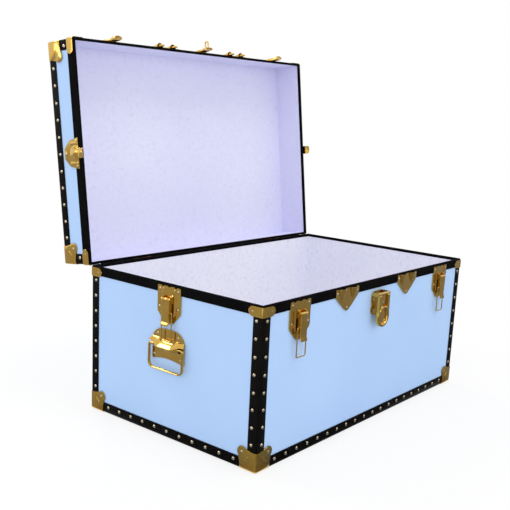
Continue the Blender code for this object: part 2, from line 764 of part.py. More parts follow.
def lock_hasp():
    """Channelled strap rolled round the pin, slotted for the staple, with a recessed round boss."""
    half_width = HASP_WIDTH / 2
    hasp = rod(HASP_PROUD, -HASP_PIVOT_DROP, HASP_ROLL_RADIUS, -half_width, half_width)
    strap = [
        (HASP_PROUD, -HASP_PIVOT_DROP),
        (HASP_PROUD + HASP_STRAP_THICKNESS, -HASP_PIVOT_DROP),
        (HASP_PROUD + HASP_STRAP_THICKNESS, HASP_CENTRE),
        (HASP_PROUD, HASP_CENTRE),
    ]
    combine(hasp, bar(strap, -half_width, half_width))
    band_top = -HASP_PIVOT_DROP - HASP_BAND_START
    band = [
        (HASP_PROUD + HASP_STRAP_THICKNESS - JOIN, band_top),
        (HASP_PROUD + HASP_BAND_FRONT, band_top - HASP_BAND_FRONT / 2),
        (HASP_PROUD + HASP_BAND_FRONT, HASP_CENTRE),
        (HASP_PROUD + HASP_STRAP_THICKNESS - JOIN, HASP_CENTRE),
    ]
    for side in (-1, 1):
        edges = sorted((side * CHANNEL_HALF, side * (half_width - JOIN)))
        combine(hasp, bar(band, *edges))
    front = HASP_PROUD + HASP_DISC_FRONT
    combine(hasp, disc(HASP_CENTRE, HASP_DISC_RADIUS, HASP_PROUD - HASP_DISC_BACK, front))
    cut(hasp, disc(HASP_CENTRE, HASP_RECESS_RADIUS, front - HASP_RECESS_DEPTH, front + HASP_RECESS_DEPTH))
    slot_half = STAPLE_WIRE_RADIUS + HASP_SLOT_PLAY
    swing = hypot(STAPLE_REACH - STAPLE_OUTER - HASP_PROUD, STAPLE_RISE) + STAPLE_OUTER
    slot_top = -HASP_PIVOT_DROP - STAPLE_RISE + STAPLE_OUTER + HASP_SLOT_ROOM
    slot_foot = -HASP_PIVOT_DROP - swing - HASP_SLOT_ROOM
    cut(hasp, box((-slot_half, -FAR, slot_foot), (slot_half, FAR, slot_top)))
    hole = HASP_PIN_RADIUS + CLEARANCE
    return cut(hasp, rod(HASP_PROUD, -HASP_PIVOT_DROP, hole, -HASP_WIDTH, HASP_WIDTH))


def lid_staple():
    """Plate whose raised tongue hangs over the parting line and carries the staple."""
    half = [
        (STAPLE_PLATE_WIDTH / 2, STAPLE_PLATE_TOP),
        (STAPLE_PLATE_WIDTH / 2, STAPLE_PLATE_BOTTOM),
    ]
    plate = over_lid_rim(eased(mirrored(half), STAPLE_CORNER), PLATE_FRONT)
    root = PLATE_FRONT - JOIN
    shelf_drop = TONGUE_KNEE_DROP + TONGUE_THICKNESS
    tongue = [
        (root, TONGUE_TOP),
        (TONGUE_KNEE_PROUD, -TONGUE_KNEE_DROP),
        (TONGUE_END_PROUD, -shelf_drop),
        (TONGUE_END_PROUD, -TONGUE_END_DROP),
        (TONGUE_END_PROUD - TONGUE_THICKNESS, -TONGUE_END_DROP),
        (TONGUE_END_PROUD - TONGUE_THICKNESS, -shelf_drop - TONGUE_THICKNESS),
        (TONGUE_KNEE_PROUD - TONGUE_THICKNESS, -TONGUE_KNEE_DROP),
        (root, STAPLE_PLATE_BOTTOM + TONGUE_THICKNESS),
    ]
    combine(plate, bar(eased(tongue, TONGUE_EASING), -TONGUE_WIDTH / 2, TONGUE_WIDTH / 2))
    crown = STAPLE_REACH - STAPLE_OUTER
    arch = arc((crown, -STAPLE_DROP), STAPLE_RADIUS, -90, 90, COARSE_STEPS)
    lower_foot = (TONGUE_END_PROUD - TONGUE_THICKNESS / 2, -STAPLE_DROP - STAPLE_RADIUS)
    upper_foot = (TONGUE_KNEE_PROUD - TONGUE_THICKNESS / 2, -STAPLE_DROP + STAPLE_RADIUS)
    path = [(0.0, -proud, up) for proud, up in [lower_foot, *arch, upper_foot]]
    return combine(plate, tube(path, STAPLE_WIRE_RADIUS))


def handle_plate():
    """Plate with an arched top, a scooped foot and a boat-shaped hood bored for the ring."""
    crown_rise = HANDLE_SHOULDER - HANDLE_CROWN
    half_width = HANDLE_WIDTH / 2
    outline = []
    for step in range(COARSE_STEPS + 1):
        share = 2 * step / COARSE_STEPS - 1
        outline.append((share * half_width, -HANDLE_SHOULDER + crown_rise * (1 - share ** 2)))
    for step in range(COARSE_STEPS + 1):
        share = 1 - 2 * step / COARSE_STEPS
        outline.append((share * half_width, -HANDLE_BOTTOM + HANDLE_ARCH * (1 - share ** 2)))
    plate = wall_plate(outline, PLATE_FRONT)
    boat = []
    for step in range(COARSE_STEPS + 1):
        share = 2 * step / COARSE_STEPS - 1
        belly = HOOD_END_PROUD + (HOOD_BELLY_PROUD - HOOD_END_PROUD) * (1 - share ** 2)
        boat.append((share * HOOD_HALF, -belly))
    root = -PLATE_FRONT + JOIN
    hood = prism([*boat, (HOOD_HALF, root), (-HOOD_HALF, root)], "Z", -HOOD_BOTTOM, -HOOD_TOP)
    combine(plate, hood)
    bore = RING_ROD_RADIUS + RING_PLAY
    return cut(plate, rod(RING_PROUD, RING_UP, bore, -HANDLE_WIDTH, HANDLE_WIDTH))


def handle_ring():
    """Drop ring whose top bar turns in the hood's bore."""
    foot = RING_UP - RING_DROP
    points = []
    corners = ((1, 1, RING_TOP_BEND), (1, -1, RING_BEND), (-1, -1, RING_BEND), (-1, 1, RING_TOP_BEND))
    for (sx, sz, bend), start in zip(corners, (90, 0, -90, 180)):
        middle = RING_UP - bend if sz > 0 else foot + bend
        centre = (sx * (RING_HALF - bend), middle)
        stop = start - 90
        points += [(along, -RING_PROUD, up) for along, up in arc(centre, bend, start, stop, BEND_STEPS)]
    return tube(points, RING_ROD_RADIUS, closed=True)


def hinge_base_leaf():
    """Leaf on the base's back with two outer knuckles and the pin."""
    half = [(LEAF_WIDTH / 2, -LEAF_EDGE), (LEAF_WIDTH / 2, -LEAF_HEIGHT)]
    leaf = over_base_rim(mirrored(half), PLATE_FRONT)
    axis_up = PARTING_GAP / 2 - HINGE_DROP
    gap = KNUCKLE_HALF + CLEARANCE
    notch = KNUCKLE_RADIUS + KNUCKLE_ROOM
    cut(leaf, box((-gap, -FAR, axis_up - notch), (gap, FAR, notch)))
    for side in (-1, 1):
        edges = sorted((side * gap, side * LEAF_WIDTH / 2))
        combine(leaf, rod(HINGE_PROUD, axis_up, KNUCKLE_RADIUS, *edges))
    reach = (gap + LEAF_WIDTH / 2) / 2
    return combine(leaf, rod(HINGE_PROUD, axis_up, HINGE_PIN_RADIUS, -reach, reach))


def closed_from_open(point, axis):
    """Turn a point (proud, up) of the open lid about the hinge axis to where it is on the closed lid."""
    turned = Matrix.Rotation(LID_OPEN_ANGLE, 2) @ (Vector(point) - Vector(axis))
    return tuple(turned + Vector(axis))


def hinge_lid_leaf():
    """Leaf on the lid's back with the middle knuckle and the tab that stops the lid."""
    half = [(LEAF_WIDTH / 2, LEAF_HEIGHT), (LEAF_WIDTH / 2, LEAF_EDGE)]
    leaf = over_lid_rim(mirrored(half), PLATE_FRONT)
    axis = (HINGE_PROUD, -LID_RISE)
    gap = KNUCKLE_HALF + CLEARANCE
    tongue = box((-KNUCKLE_HALF, -PLATE_FRONT, axis[1]), (KNUCKLE_HALF, -PLATE_BACK, LEAF_HEIGHT / 2))
    combine(leaf, tongue)
    combine(leaf, rod(*axis, KNUCKLE_RADIUS, -KNUCKLE_HALF, KNUCKLE_HALF))
    tab_back = PLATE_FRONT + CLEARANCE
    tab = [
        (tab_back, axis[1]),
        (tab_back + STOP_TAB_THICKNESS, axis[1]),
        (tab_back + STOP_TAB_THICKNESS, axis[1] - STOP_TAB_LENGTH),
        (tab_back, axis[1] - STOP_TAB_LENGTH),
    ]
    combine(leaf, bar([closed_from_open(point, axis) for point in tab], CLEARANCE - gap, gap - CLEARANCE))
    return cut(leaf, rod(*axis, HINGE_PIN_RADIUS + CLEARANCE, -LEAF_WIDTH, LEAF_WIDTH))


def remove_everything():
    """Start from a bare scene."""
    for item in list(bpy.data.objects):
        bpy.data.objects.remove(item)


def stations(parent, front, end_left, end_right, up):
    """Empties at the middle of the front and of each end, turned to face outwards."""
    return {
        "front": empty("front_station", parent, (0.0, front, up)),
        "left": empty("left_station", parent, (end_left, front + TRUNK_DEPTH / 2, up), (0.0, 0.0, -pi / 2)),
        "right": empty("right_station", parent, (end_right, front + TRUNK_DEPTH / 2, up), (0.0, 0.0, pi / 2)),
        "back": empty("back_station", parent, (0.0, front + TRUNK_DEPTH, up), (0.0, 0.0, pi)),
    }


def catch_places(walls):
    """Holders for the four catches, or for the four hooks above them."""
    return {
        "front_left": empty("front_left_place", walls["front"], (-CATCH_OFFSET, 0.0, 0.0)),
        "front_right": empty("front_right_place", walls["front"], (CATCH_OFFSET, 0.0, 0.0)),
        "left_end": walls["left"],
        "right_end": walls["right"],
    }


def pairs(walls, wall, offset):
    """Left and right holders on one wall, named as seen from the front."""
    way = -1 if wall == "back" else 1
    return {
        "left": empty(f"{wall}_left_holder", walls[wall], (-way * offset, 0.0, 0.0)),
        "right": empty(f"{wall}_right_holder", walls[wall], (way * offset, 0.0, 0.0)),
    }


def fit(make, finish, name, holders, pivot=(0.0, 0.0, 0.0)):
    """Make a fitting once and hang a copy of it on each holder."""
    pieces = {}
    first = None
    for key, holder in holders.items():
        if first is None:
            first = place(make(), f"{name}_{key}", finish, holder, pivot)
            pieces[key] = first
        else:
            pieces[key] = copy_to(first, f"{name}_{key}", holder)
    return pieces


def main():
    remove_everything()
    finishes = {
        "panel": material("blue_panel", (0.44, 0.62, 0.94), 0.45),
        "lining": material("lining_paper", (0.78, 0.78, 0.95), 0.85),
        "edging": material("black_edging", (0.004, 0.003, 0.003), 0.4),
        "rim": material("black_rim", (0.005, 0.005, 0.008), 0.35),
        "brass": material("brass", (0.55, 0.42, 0.14), 0.28, 1.0),
    }
    brass = finishes["brass"]

    base = empty("base_box", None, (0.0, 0.0, FLOOR_LIFT))
    base_corners = ("front_left", "front_right", "back_right", "back_left")
    base_panels(finishes["panel"], base)
    box_trim("base", BASE_HEIGHT, BASE_RIM_BAND, finishes, base, base_corners)

    hinge_y = TRUNK_DEPTH / 2 + HINGE_PROUD
    hinge_z = RIM_EDGE + PARTING_GAP - LID_RISE
    lid = empty("lid_hinge_axis", None, (0.0, hinge_y, hinge_z), (-LID_OPEN_ANGLE, 0.0, 0.0))
    lid_top = LID_RISE + LID_HEIGHT
    lid_box = empty("lid_box", lid, (0.0, -hinge_y, lid_top), (pi, 0.0, 0.0))
    lid_corners = ("back_left", "back_right", "front_right", "front_left")
    lid_panels(finishes["panel"], lid_box)
    box_trim("lid", LID_HEIGHT, LID_RIM_BAND, finishes, lid_box, lid_corners)

    ends = (-TRUNK_LENGTH / 2, TRUNK_LENGTH / 2)
    base_walls = stations(None, -TRUNK_DEPTH / 2, *ends, RIM_EDGE)
    lid_walls = stations(lid, -TRUNK_DEPTH / 2 - hinge_y, *ends, LID_RISE)

    catches = catch_places(base_walls)
    fit(catch_plate, brass, "catch_plate", catches)
    lever_pivot = Vector((0.0, -LEVER_PROUD, -LEVER_PIVOT_DROP))
    levers = fit(catch_lever, brass, "catch_lever", catches, lever_pivot)
    bail_pivot = Vector((0.0, -BAIL_PROUD, -BAIL_PIVOT_DROP))
    bails = fit(catch_bail, brass, "catch_bail", catches, bail_pivot)
    for key, bail in bails.items():
        bail.parent = levers[key]
        bail.location = bail_pivot - lever_pivot
    fit(lid_hook, brass, "lid_hook", catch_places(lid_walls))

    fit(base_locator, brass, "base_locator", pairs(base_walls, "front", LOCATOR_OFFSET))
    fit(lid_locator, brass, "lid_locator", pairs(lid_walls, "front", LOCATOR_OFFSET))

    place(lock_plate(), "lock_plate", brass, base_walls["front"])
    place(lock_hasp(), "lock_hasp", brass, base_walls["front"], (0.0, -HASP_PROUD, -HASP_PIVOT_DROP))
    place(lid_staple(), "lid_staple", brass, lid_walls["front"])

    handles = {"left": base_walls["left"], "right": base_walls["right"]}
    fit(handle_plate, brass, "handle_plate", handles)
    fit(handle_ring, brass, "handle_ring", handles, (0.0, -RING_PROUD, RING_UP))

    fit(hinge_base_leaf, brass, "hinge_base_leaf", pairs(base_walls, "back", HINGE_OFFSET))
    fit(hinge_lid_leaf, brass, "hinge_lid_leaf", pairs(lid_walls, "back", HINGE_OFFSET))


main()
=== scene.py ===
# %% [markdown]
# # A storage trunk, dressed in Blender
# The trunk is a plywood box faced in pale blue, bound with black fibre edging and fitted with pressed
# brass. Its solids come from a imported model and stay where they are. Each step below takes one kind of
# piece or finish: what it is on the real trunk, how it could be made, and why it is made this way here.

# %% Load the solids and keep their box
import json
import random
from math import asin, cos, hypot, pi, radians, sin, sqrt, tan

import bmesh
import bpy
from mathutils import Matrix, Vector


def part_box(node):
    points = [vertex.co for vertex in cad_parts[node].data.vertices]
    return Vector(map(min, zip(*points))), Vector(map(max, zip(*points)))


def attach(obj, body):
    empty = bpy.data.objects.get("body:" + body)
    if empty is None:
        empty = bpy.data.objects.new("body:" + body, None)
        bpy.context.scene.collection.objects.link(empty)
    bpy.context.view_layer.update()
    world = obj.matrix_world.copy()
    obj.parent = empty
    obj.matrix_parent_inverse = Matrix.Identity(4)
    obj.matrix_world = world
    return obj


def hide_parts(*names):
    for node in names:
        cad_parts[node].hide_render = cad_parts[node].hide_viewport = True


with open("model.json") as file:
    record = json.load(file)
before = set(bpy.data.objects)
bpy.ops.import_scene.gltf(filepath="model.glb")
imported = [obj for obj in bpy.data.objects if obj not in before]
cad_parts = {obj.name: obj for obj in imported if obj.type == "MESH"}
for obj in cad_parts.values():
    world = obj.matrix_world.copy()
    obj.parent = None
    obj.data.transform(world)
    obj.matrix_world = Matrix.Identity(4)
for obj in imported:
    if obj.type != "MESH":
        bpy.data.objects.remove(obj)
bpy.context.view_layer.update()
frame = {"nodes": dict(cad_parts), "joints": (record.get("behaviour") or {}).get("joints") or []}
scene = bpy.context.scene

# %% [markdown]
# ## Where things are
# Every fitting sits on a wall of the base or of the lid. It is easiest to draw a fitting flat, in a frame
# of its own: X runs along the wall, Z is the height above the rim's edge and -Y points away from the wall.
# One matrix for each wall then carries the drawing to its place. The lid stands open, so the lid's walls
# are first placed as if it were closed and then swung about the hinge.

# %% Measure the box


def joint(name):
    return next(item for item in frame["joints"] if item["name"] == name)


def measure(node, place):
    """Lowest and highest corner of a solid, seen in the frame of a place."""
    inverse = place.inverted()
    points = [inverse @ vertex.co for vertex in frame["nodes"][node].data.vertices]
    low = Vector([min(point[axis] for point in points) for axis in range(3)])
    high = Vector([max(point[axis] for point in points) for axis in range(3)])
    return low, high


HALF_LENGTH, HALF_DEPTH, RIM_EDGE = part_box("base_rim")[1]
FLOOR_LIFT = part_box("base_edging")[0].z
HINGE = Vector(joint("lid_hinge")["pos_m"])
LID_TURN = radians(joint("lid_hinge")["range_deg"][1])
LID = Matrix.Translation(HINGE) @ Matrix.Rotation(-LID_TURN, 4, "X") @ Matrix.Translation(-HINGE)
LID_EDGE = measure("lid_rim", LID)[0].z
LID_TOP = measure("lid_edging", LID)[1].z
BASE_HEIGHT = RIM_EDGE - FLOOR_LIFT
LID_HEIGHT = LID_TOP - LID_EDGE
print("base height", round(BASE_HEIGHT, 4), "lid height", round(LID_HEIGHT, 4))

# %% Place the walls
WALL_TURNS = {"front": 0, "right": 90, "back": 180, "left": -90}
LONG_WALLS = ("front", "back")
BASE_BOX = Matrix.Translation((0, 0, FLOOR_LIFT))
LID_BOX = LID @ Matrix.Translation((0, 0, LID_TOP)) @ Matrix.Rotation(pi, 4, "X")


def wall(body, side, along=0.0):
    """Frame of a fitting on a wall of the base or the lid."""
    reach = HALF_DEPTH if side in LONG_WALLS else HALF_LENGTH
    edge = RIM_EDGE if body == "base" else LID_EDGE
    turn = Matrix.Rotation(radians(WALL_TURNS[side]), 4, "Z")
    spot = Matrix.Translation((0, 0, edge)) @ turn @ Matrix.Translation((along, -reach, 0))
    return spot if body == "base" else LID @ spot


print("walls of each box", len(WALL_TURNS))

# %% [markdown]
# ## Camera
# A photograph's straight edges give away its camera. The focal length, the point where the optical axis
# meets the picture, and the camera's place and turn were fitted to the trunk's edges, so they are written
# here as plain values. The lens shift puts the optical axis off the middle of the picture, as it is there.

# %% Set up the camera
PHOTO_SIZE = 510
FOCAL_PIXELS = 811.1
OPTICAL_CENTRE = (259.0, 283.85)
SENSOR_WIDTH = 36.0
CAMERA_PLACE = (-1.7366, -1.3011, 0.7784)
CAMERA_HEADING = radians(50.93)
CAMERA_TILT = radians(12.17)
CAMERA_ROLL = radians(2.76)

camera_data = bpy.data.cameras.new("photo_camera")
camera_data.sensor_fit = "HORIZONTAL"
camera_data.sensor_width = SENSOR_WIDTH
camera_data.lens = SENSOR_WIDTH * FOCAL_PIXELS / PHOTO_SIZE
camera_data.shift_x = 0.5 - OPTICAL_CENTRE[0] / PHOTO_SIZE
camera_data.shift_y = OPTICAL_CENTRE[1] / PHOTO_SIZE - 0.5
camera = bpy.data.objects.new("photo_camera", camera_data)
scene.collection.objects.link(camera)
camera.matrix_world = (
    Matrix.Translation(CAMERA_PLACE)
    @ Matrix.Rotation(-CAMERA_HEADING, 4, "Z")
    @ Matrix.Rotation(pi / 2 - CAMERA_TILT, 4, "X")
    @ Matrix.Rotation(CAMERA_ROLL, 4, "Z")
)
scene.camera = camera
print("lens", round(camera_data.lens, 2), "mm")

# %% [markdown]
# ## Studio light
# Soft light from all round shows the colours as they are, and softboxes in front and above shape the box.
# Polished brass is a mirror, so it also needs something bright to look at: small lamps behind the trunk put
# glints on its upper edges. A picture of a studio could light the scene. Here the world is plain white, a
# little dimmer where it lights the trunk than where the camera, a mirror or glass sees it.

# %% Helpers that build shaders
WHITE = (1.0, 1.0, 1.0, 1.0)


def set_inputs(node, values):
    """Set sockets of a node by their names."""
    for name, value in values.items():
        node.inputs[name].default_value = value


def shader_node(tree, kind, values=None, **settings):
    """Add a node to a shader tree, with values for its sockets and with its settings."""
    node = tree.nodes.new(kind)
    for key, value in settings.items():
        setattr(node, key, value)
    set_inputs(node, values or {})
    return node


def combine(tree, operation, first, second):
    """One value made of two."""
    both = shader_node(tree, "ShaderNodeMath", operation=operation)
    tree.links.new(first, both.inputs[0])
    tree.links.new(second, both.inputs[1])
    return both.outputs[0]


def spread(tree, value, low=0.0, high=1.0, start=0.3, stop=0.7):
    """Stretch a value between start and stop over a range; a noise lies mostly between the two."""
    limits = {"From Min": start, "From Max": stop, "To Min": low, "To Max": high}
    reach = shader_node(tree, "ShaderNodeMapRange", limits)
    tree.links.new(value, reach.inputs["Value"])
    return reach.outputs["Result"]


def seen_in_the_open(tree):
    """A value that is 1 for rays from the camera, from gloss and through glass."""
    rays = shader_node(tree, "ShaderNodeLightPath").outputs
    seen = combine(tree, "MAXIMUM", rays["Is Camera Ray"], rays["Is Glossy Ray"])
    return combine(tree, "MAXIMUM", seen, rays["Is Transmission Ray"])


def show_mix(tree, share, first, second, output):
    """Let an output show the first shader where a share is 0, and the second where it is 1."""
    mix = shader_node(tree, "ShaderNodeMixShader")
    for source, socket in zip((share, first.outputs[0], second.outputs[0]), mix.inputs):
        tree.links.new(source, socket)
    tree.links.new(mix.outputs[0], tree.nodes[output].inputs["Surface"])


print("shader helpers ready")

# %% Light the trunk
AMBIENT = 0.86
# Each lamp has a place, a size and a power in watts.
LAMPS = {
    "front_softbox": ((-0.5, -3.2, 1.7), 0.8, 9.0),
    "left_softbox": ((-3.4, -0.8, 1.4), 0.7, 4.0),
    "horizon_lamp": ((-3.1, 2.6, 1.15), 0.6, 4.0),
    "back_left_lamp": ((-0.95, 2.3, 2.65), 0.6, 14.0),
    "back_lamp": ((0.9, 2.4, 2.3), 0.5, 10.0),
    "top_softbox": ((0.1, -0.6, 3.2), 0.9, 15.0),
}


def light_the_world():
    world = bpy.data.worlds.new("studio")
    scene.world = world
    world.use_nodes = True
    tree = world.node_tree
    soft = tree.nodes["Background"]
    set_inputs(soft, {"Color": WHITE, "Strength": AMBIENT})
    white = shader_node(tree, "ShaderNodeBackground", {"Color": WHITE, "Strength": 1.0})
    show_mix(tree, seen_in_the_open(tree), soft, white, "World Output")


def hang_lamp(name, place, size, watts):
    lamp = bpy.data.lights.new(name, "AREA")
    lamp.size = size
    lamp.energy = watts
    box = bpy.data.objects.new(name, lamp)
    scene.collection.objects.link(box)
    box.location = place
    aim = Vector((0, 0, BASE_HEIGHT)) - Vector(place)
    box.rotation_euler = aim.to_track_quat("-Z", "Y").to_euler()
    box.visible_camera = False


scene.view_settings.view_transform = "Standard"
light_the_world()
for lamp_name, lamp_settings in LAMPS.items():
    hang_lamp(lamp_name, *lamp_settings)
print("lamps", len(LAMPS))

# %% [markdown]
# ## Floor and cards
# The floor is one pale sheet. A backdrop could curve up behind the trunk, but a floor that fades to pure
# white away from the trunk shows no horizon from any side, and it keeps the shadow close to the trunk. Two
# grey cards lean away from the trunk. Only reflections see them, and they give the flat brass plates their
# depth.

# %% Lay the floor and lean the cards
FLOOR_SIZE = 40.0
FLOOR_GREY = 0.92
FLOOR_GLOW = (0.80, 1.0)
FLOOR_FADE = (0.8, 2.4)
# Each card has a heading in degrees, a reach outwards, a span sideways, a rise and a grey.
CARDS = {
    "front_card": (-90.0, (0.282, 3.4), (-1.0, 3.6), 1.8, 0.27),
    "left_card": (180.0, (0.462, 3.2), (-2.8, 0.4), 0.75, 0.38),
}


def new_material(name):
    """An empty material with a Principled shader, given as (material, tree, shader)."""
    material = bpy.data.materials.new(name)
    material.use_nodes = True
    tree = material.node_tree
    return material, tree, tree.nodes["Principled BSDF"]


def stage_sheet(name, place, length, width, grey):
    """A flat matt sheet of the set, which isn't part of the trunk."""
    bm = bmesh.new()
    bmesh.ops.create_grid(bm, x_segments=1, y_segments=1, size=0.5)
    bmesh.ops.scale(bm, vec=(length, width, 1), verts=bm.verts)
    bmesh.ops.transform(bm, matrix=place, verts=bm.verts)
    mesh = bpy.data.meshes.new(name)
    bm.to_mesh(mesh)
    bm.free()
    sheet = bpy.data.objects.new(name, mesh)
    scene.collection.objects.link(sheet)
    material, _, shader = new_material(name)
    set_inputs(shader, {"Base Color": (grey, grey, grey, 1.0), "Roughness": 1.0, "Specular IOR Level": 0.0})
    mesh.materials.append(material)
    return sheet


def whiten(sheet):
    """Let a sheet fade to white away from the trunk, and take a part of the shadows close to it."""
    tree = sheet.data.materials[0].node_tree
    place = shader_node(tree, "ShaderNodeTexCoord")
    distance = shader_node(tree, "ShaderNodeVectorMath", operation="LENGTH")
    tree.links.new(place.outputs["Object"], distance.inputs[0])
    fade = spread(tree, distance.outputs["Value"], *FLOOR_GLOW, *FLOOR_FADE)
    share = combine(tree, "MULTIPLY", seen_in_the_open(tree), fade)
    glow = shader_node(tree, "ShaderNodeEmission")
    show_mix(tree, share, tree.nodes["Principled BSDF"], glow, "Material Output")


def lean_card(name, heading, reach, span, rise, grey):
    """A card that starts close to a wall and rises away from it; only reflections see it."""
    (near, far), (start, stop) = reach, span
    length = hypot(far - near, rise)
    corner = Matrix.Rotation(radians(heading), 4, "Z") @ Matrix.Translation((near, start, FLOOR_LIFT))
    slope = Matrix.Rotation(-asin(rise / length), 4, "Y")
    middle = Matrix.Translation((length / 2, (stop - start) / 2, 0))
    card = stage_sheet(name, corner @ slope @ middle, length, stop - start, grey)
    card.visible_camera = False
    card.visible_diffuse = False
    card.visible_shadow = False
    card.visible_transmission = False


whiten(stage_sheet("floor", Matrix(), FLOOR_SIZE, FLOOR_SIZE, FLOOR_GREY))
for card_name, card_shape in CARDS.items():
    lean_card(card_name, *card_shape)
print("floor", FLOOR_SIZE, "m wide, cards", len(CARDS))

# %% [markdown]
# ## Finishes
# Five finishes cover the trunk: blue-faced board, pale lining paper, black fibre edging, black painted rims
# and lacquered brass. A picture of each surface could be wrapped round the pieces. Here the detail comes
# from noise fixed to each piece's Object coordinates instead: it needs no files and no unwrapping, it has
# the same scale on every piece, and it stays put when a piece moves.

# %% Helpers that build finishes


def grain(tree, scale, detail, stretch=(1.0, 1.0, 1.0)):
    """Noise fixed to the piece, as a value that lies around one half."""
    place = shader_node(tree, "ShaderNodeTexCoord")
    stretched = shader_node(tree, "ShaderNodeMapping", {"Scale": stretch})
    noise = shader_node(tree, "ShaderNodeTexNoise", {"Scale": scale, "Detail": detail})
    tree.links.new(place.outputs["Object"], stretched.inputs["Vector"])
    tree.links.new(stretched.outputs["Vector"], noise.inputs["Vector"])
    return noise.outputs["Fac"]


# A Mix node keeps its colour sockets after those for numbers and vectors.
MIX_FACTOR, MIX_FIRST, MIX_SECOND, MIX_RESULT = 0, 6, 7, 2


def two_tone(tree, share, first, second):
    """Colour that goes from the first to the second as the share grows; either may be a socket."""
    mix = shader_node(tree, "ShaderNodeMix", data_type="RGBA")
    tree.links.new(share, mix.inputs[MIX_FACTOR])
    for number, colour in ((MIX_FIRST, first), (MIX_SECOND, second)):
        if isinstance(colour, tuple):
            mix.inputs[number].default_value = (*colour, 1.0)
        else:
            tree.links.new(colour, mix.inputs[number])
    return mix.outputs[MIX_RESULT]


def emboss(tree, shader, height, strength, depth):
    """Press a noise into the surface as fine relief."""
    bump = shader_node(tree, "ShaderNodeBump", {"Strength": strength, "Distance": depth})
    tree.links.new(height, bump.inputs["Height"])
    tree.links.new(bump.outputs["Normal"], shader.inputs["Normal"])


def finish_solids(material, *names):
    """Give solids that keep their shape a finish."""
    for name in names:
        for slot in frame["nodes"][name].material_slots:
            slot.material = material


print("finish helpers ready")

# %% [markdown]
# ## Blue board
# The panels are thin board with a smooth pale blue facing. Each is a flat sheet whose edges hide under the
# edging, so the solid's own shape is right and only needs its finish: a colour that drifts a little from
# place to place, as a coated sheet does, and a fine tooth that softens the reflections.

# %% Finish the panels
PANEL_TONES = ((0.450, 0.645, 0.968), (0.470, 0.668, 0.990))
PANEL_NODES = [name for name in frame["nodes"] if name.endswith("_panel")] + ["lid_side_frame"]


def blue_board():
    material, tree, shader = new_material("blue_board")
    drift = spread(tree, grain(tree, scale=6.0, detail=4.0))
    tree.links.new(two_tone(tree, drift, *PANEL_TONES), shader.inputs["Base Color"])
    tooth = grain(tree, scale=1500.0, detail=2.0)
    tree.links.new(spread(tree, tooth, low=0.40, high=0.56), shader.inputs["Roughness"])
    shader.inputs["Specular IOR Level"].default_value = 0.3
    emboss(tree, shader, tooth, strength=0.15, depth=0.0003)
    return material


finish_solids(blue_board(), *PANEL_NODES)
print("blue panels", len(PANEL_NODES))

# %% [markdown]
# ## Lining paper
# Inside, the board is papered. The paper is nearly white with a lilac cast and carries faint short fibres
# that lie every way. The same paper is painted whiter in the base than in the lid: painted light in the deep
# base and painted shade in the lid. Two noises make the fibres: each is stretched one way, so it has
# strokes, and the greater of the two shows. The paper is matt and slightly cockled by its paste.

# %% Finish the linings
# Two tones of one paper: brighter in the base as painted light, greyer in the lid as painted shade.
PAPER_LIGHT_AND_SHADE_TONES = {
    "lid_lining": ((0.745, 0.748, 0.957), (0.790, 0.793, 0.972)),
    "base_lining": ((0.880, 0.885, 0.985), (0.950, 0.950, 0.990)),
}
FIBRE_TONE = (0.64, 0.62, 0.90)
FIBRE_SCALE = 210.0
FIBRE_STRETCHES = ((0.30, 1.0, 0.45), (1.0, 1.0, 0.28))


def lining_paper(name, tones):
    material, tree, shader = new_material(name)
    paper = two_tone(tree, spread(tree, grain(tree, scale=3.0, detail=2.0)), *tones)
    strokes = [grain(tree, FIBRE_SCALE, detail=1.0, stretch=stretch) for stretch in FIBRE_STRETCHES]
    fibres = spread(tree, combine(tree, "MAXIMUM", *strokes), high=0.40, start=0.54, stop=0.80)
    tree.links.new(two_tone(tree, fibres, paper, FIBRE_TONE), shader.inputs["Base Color"])
    set_inputs(shader, {"Roughness": 0.85, "Specular IOR Level": 0.2})
    emboss(tree, shader, grain(tree, scale=75.0, detail=6.0), strength=0.45, depth=0.0012)
    return material


for lining, painted_paper_tones in PAPER_LIGHT_AND_SHADE_TONES.items():
    finish_solids(lining_paper(f"{lining}_paper", painted_paper_tones), lining)
print("linings papered", len(PAPER_LIGHT_AND_SHADE_TONES))

# %% [markdown]
# ## Modelling helpers
# The trim and the fittings are new meshes that stand in for plainer solids. Most are sheet metal, so the
# main tool is a grid whose points are laid out by a formula and then given thickness. The helpers here make
# arcs, lay out grids, extrude bars, turn round bosses and hand a finished mesh over: the piece rides on a
# body of the model, takes its material and hides the solids that it stands for.

# %% Helpers that draw curves and grids
WELD = 0.00002


def arc(centre, radius, start, stop, steps):
    """Points of an arc in a plane, angles in degrees."""
    turns = [radians(start + (stop - start) * step / steps) for step in range(steps + 1)]
    return [(centre[0] + radius * cos(turn), centre[1] + radius * sin(turn)) for turn in turns]


def ease(value):
    """A smooth step from 0 to 1."""
    share = min(1.0, max(0.0, value))
    return share * share * (3.0 - 2.0 * share)


def laid_grid(columns, rows, spot):
    """A sheet of quads whose point (across, up), each from 0 to 1, lies at spot(across, up)."""
    bm = bmesh.new()
    bmesh.ops.create_grid(bm, x_segments=columns, y_segments=rows, size=0.5)
    for vertex in bm.verts:
        vertex.co = spot(vertex.co.x + 0.5, vertex.co.y + 0.5)
    return bm


def weld(bm):
    """Merge points that lie on one another."""
    bmesh.ops.remove_doubles(bm, verts=bm.verts, dist=WELD)


print("drawing helpers ready")

# %% Helpers that round edges and thicken sheets
CREASE = radians(32)
HARD_CORNER = radians(50)


def round_edges(bm, edges, width, segments=2):
    """Ease edges with a small round."""
    bmesh.ops.bevel(
        bm,
        geom=edges,
        offset=width,
        affect="EDGES",
        segments=segments,
        profile=0.5,
        material=-1,
        clamp_overlap=True,
    )


def round_corners(bm, width):
    """Ease every edge where two faces meet at a hard corner."""
    edges = [edge for edge in bm.edges if edge.is_manifold and edge.calc_face_angle() > HARD_CORNER]
    round_edges(bm, edges, width)


def open_edges(bm):
    """Edges along the outline of a sheet."""
    return [edge for edge in bm.edges if edge.is_boundary]


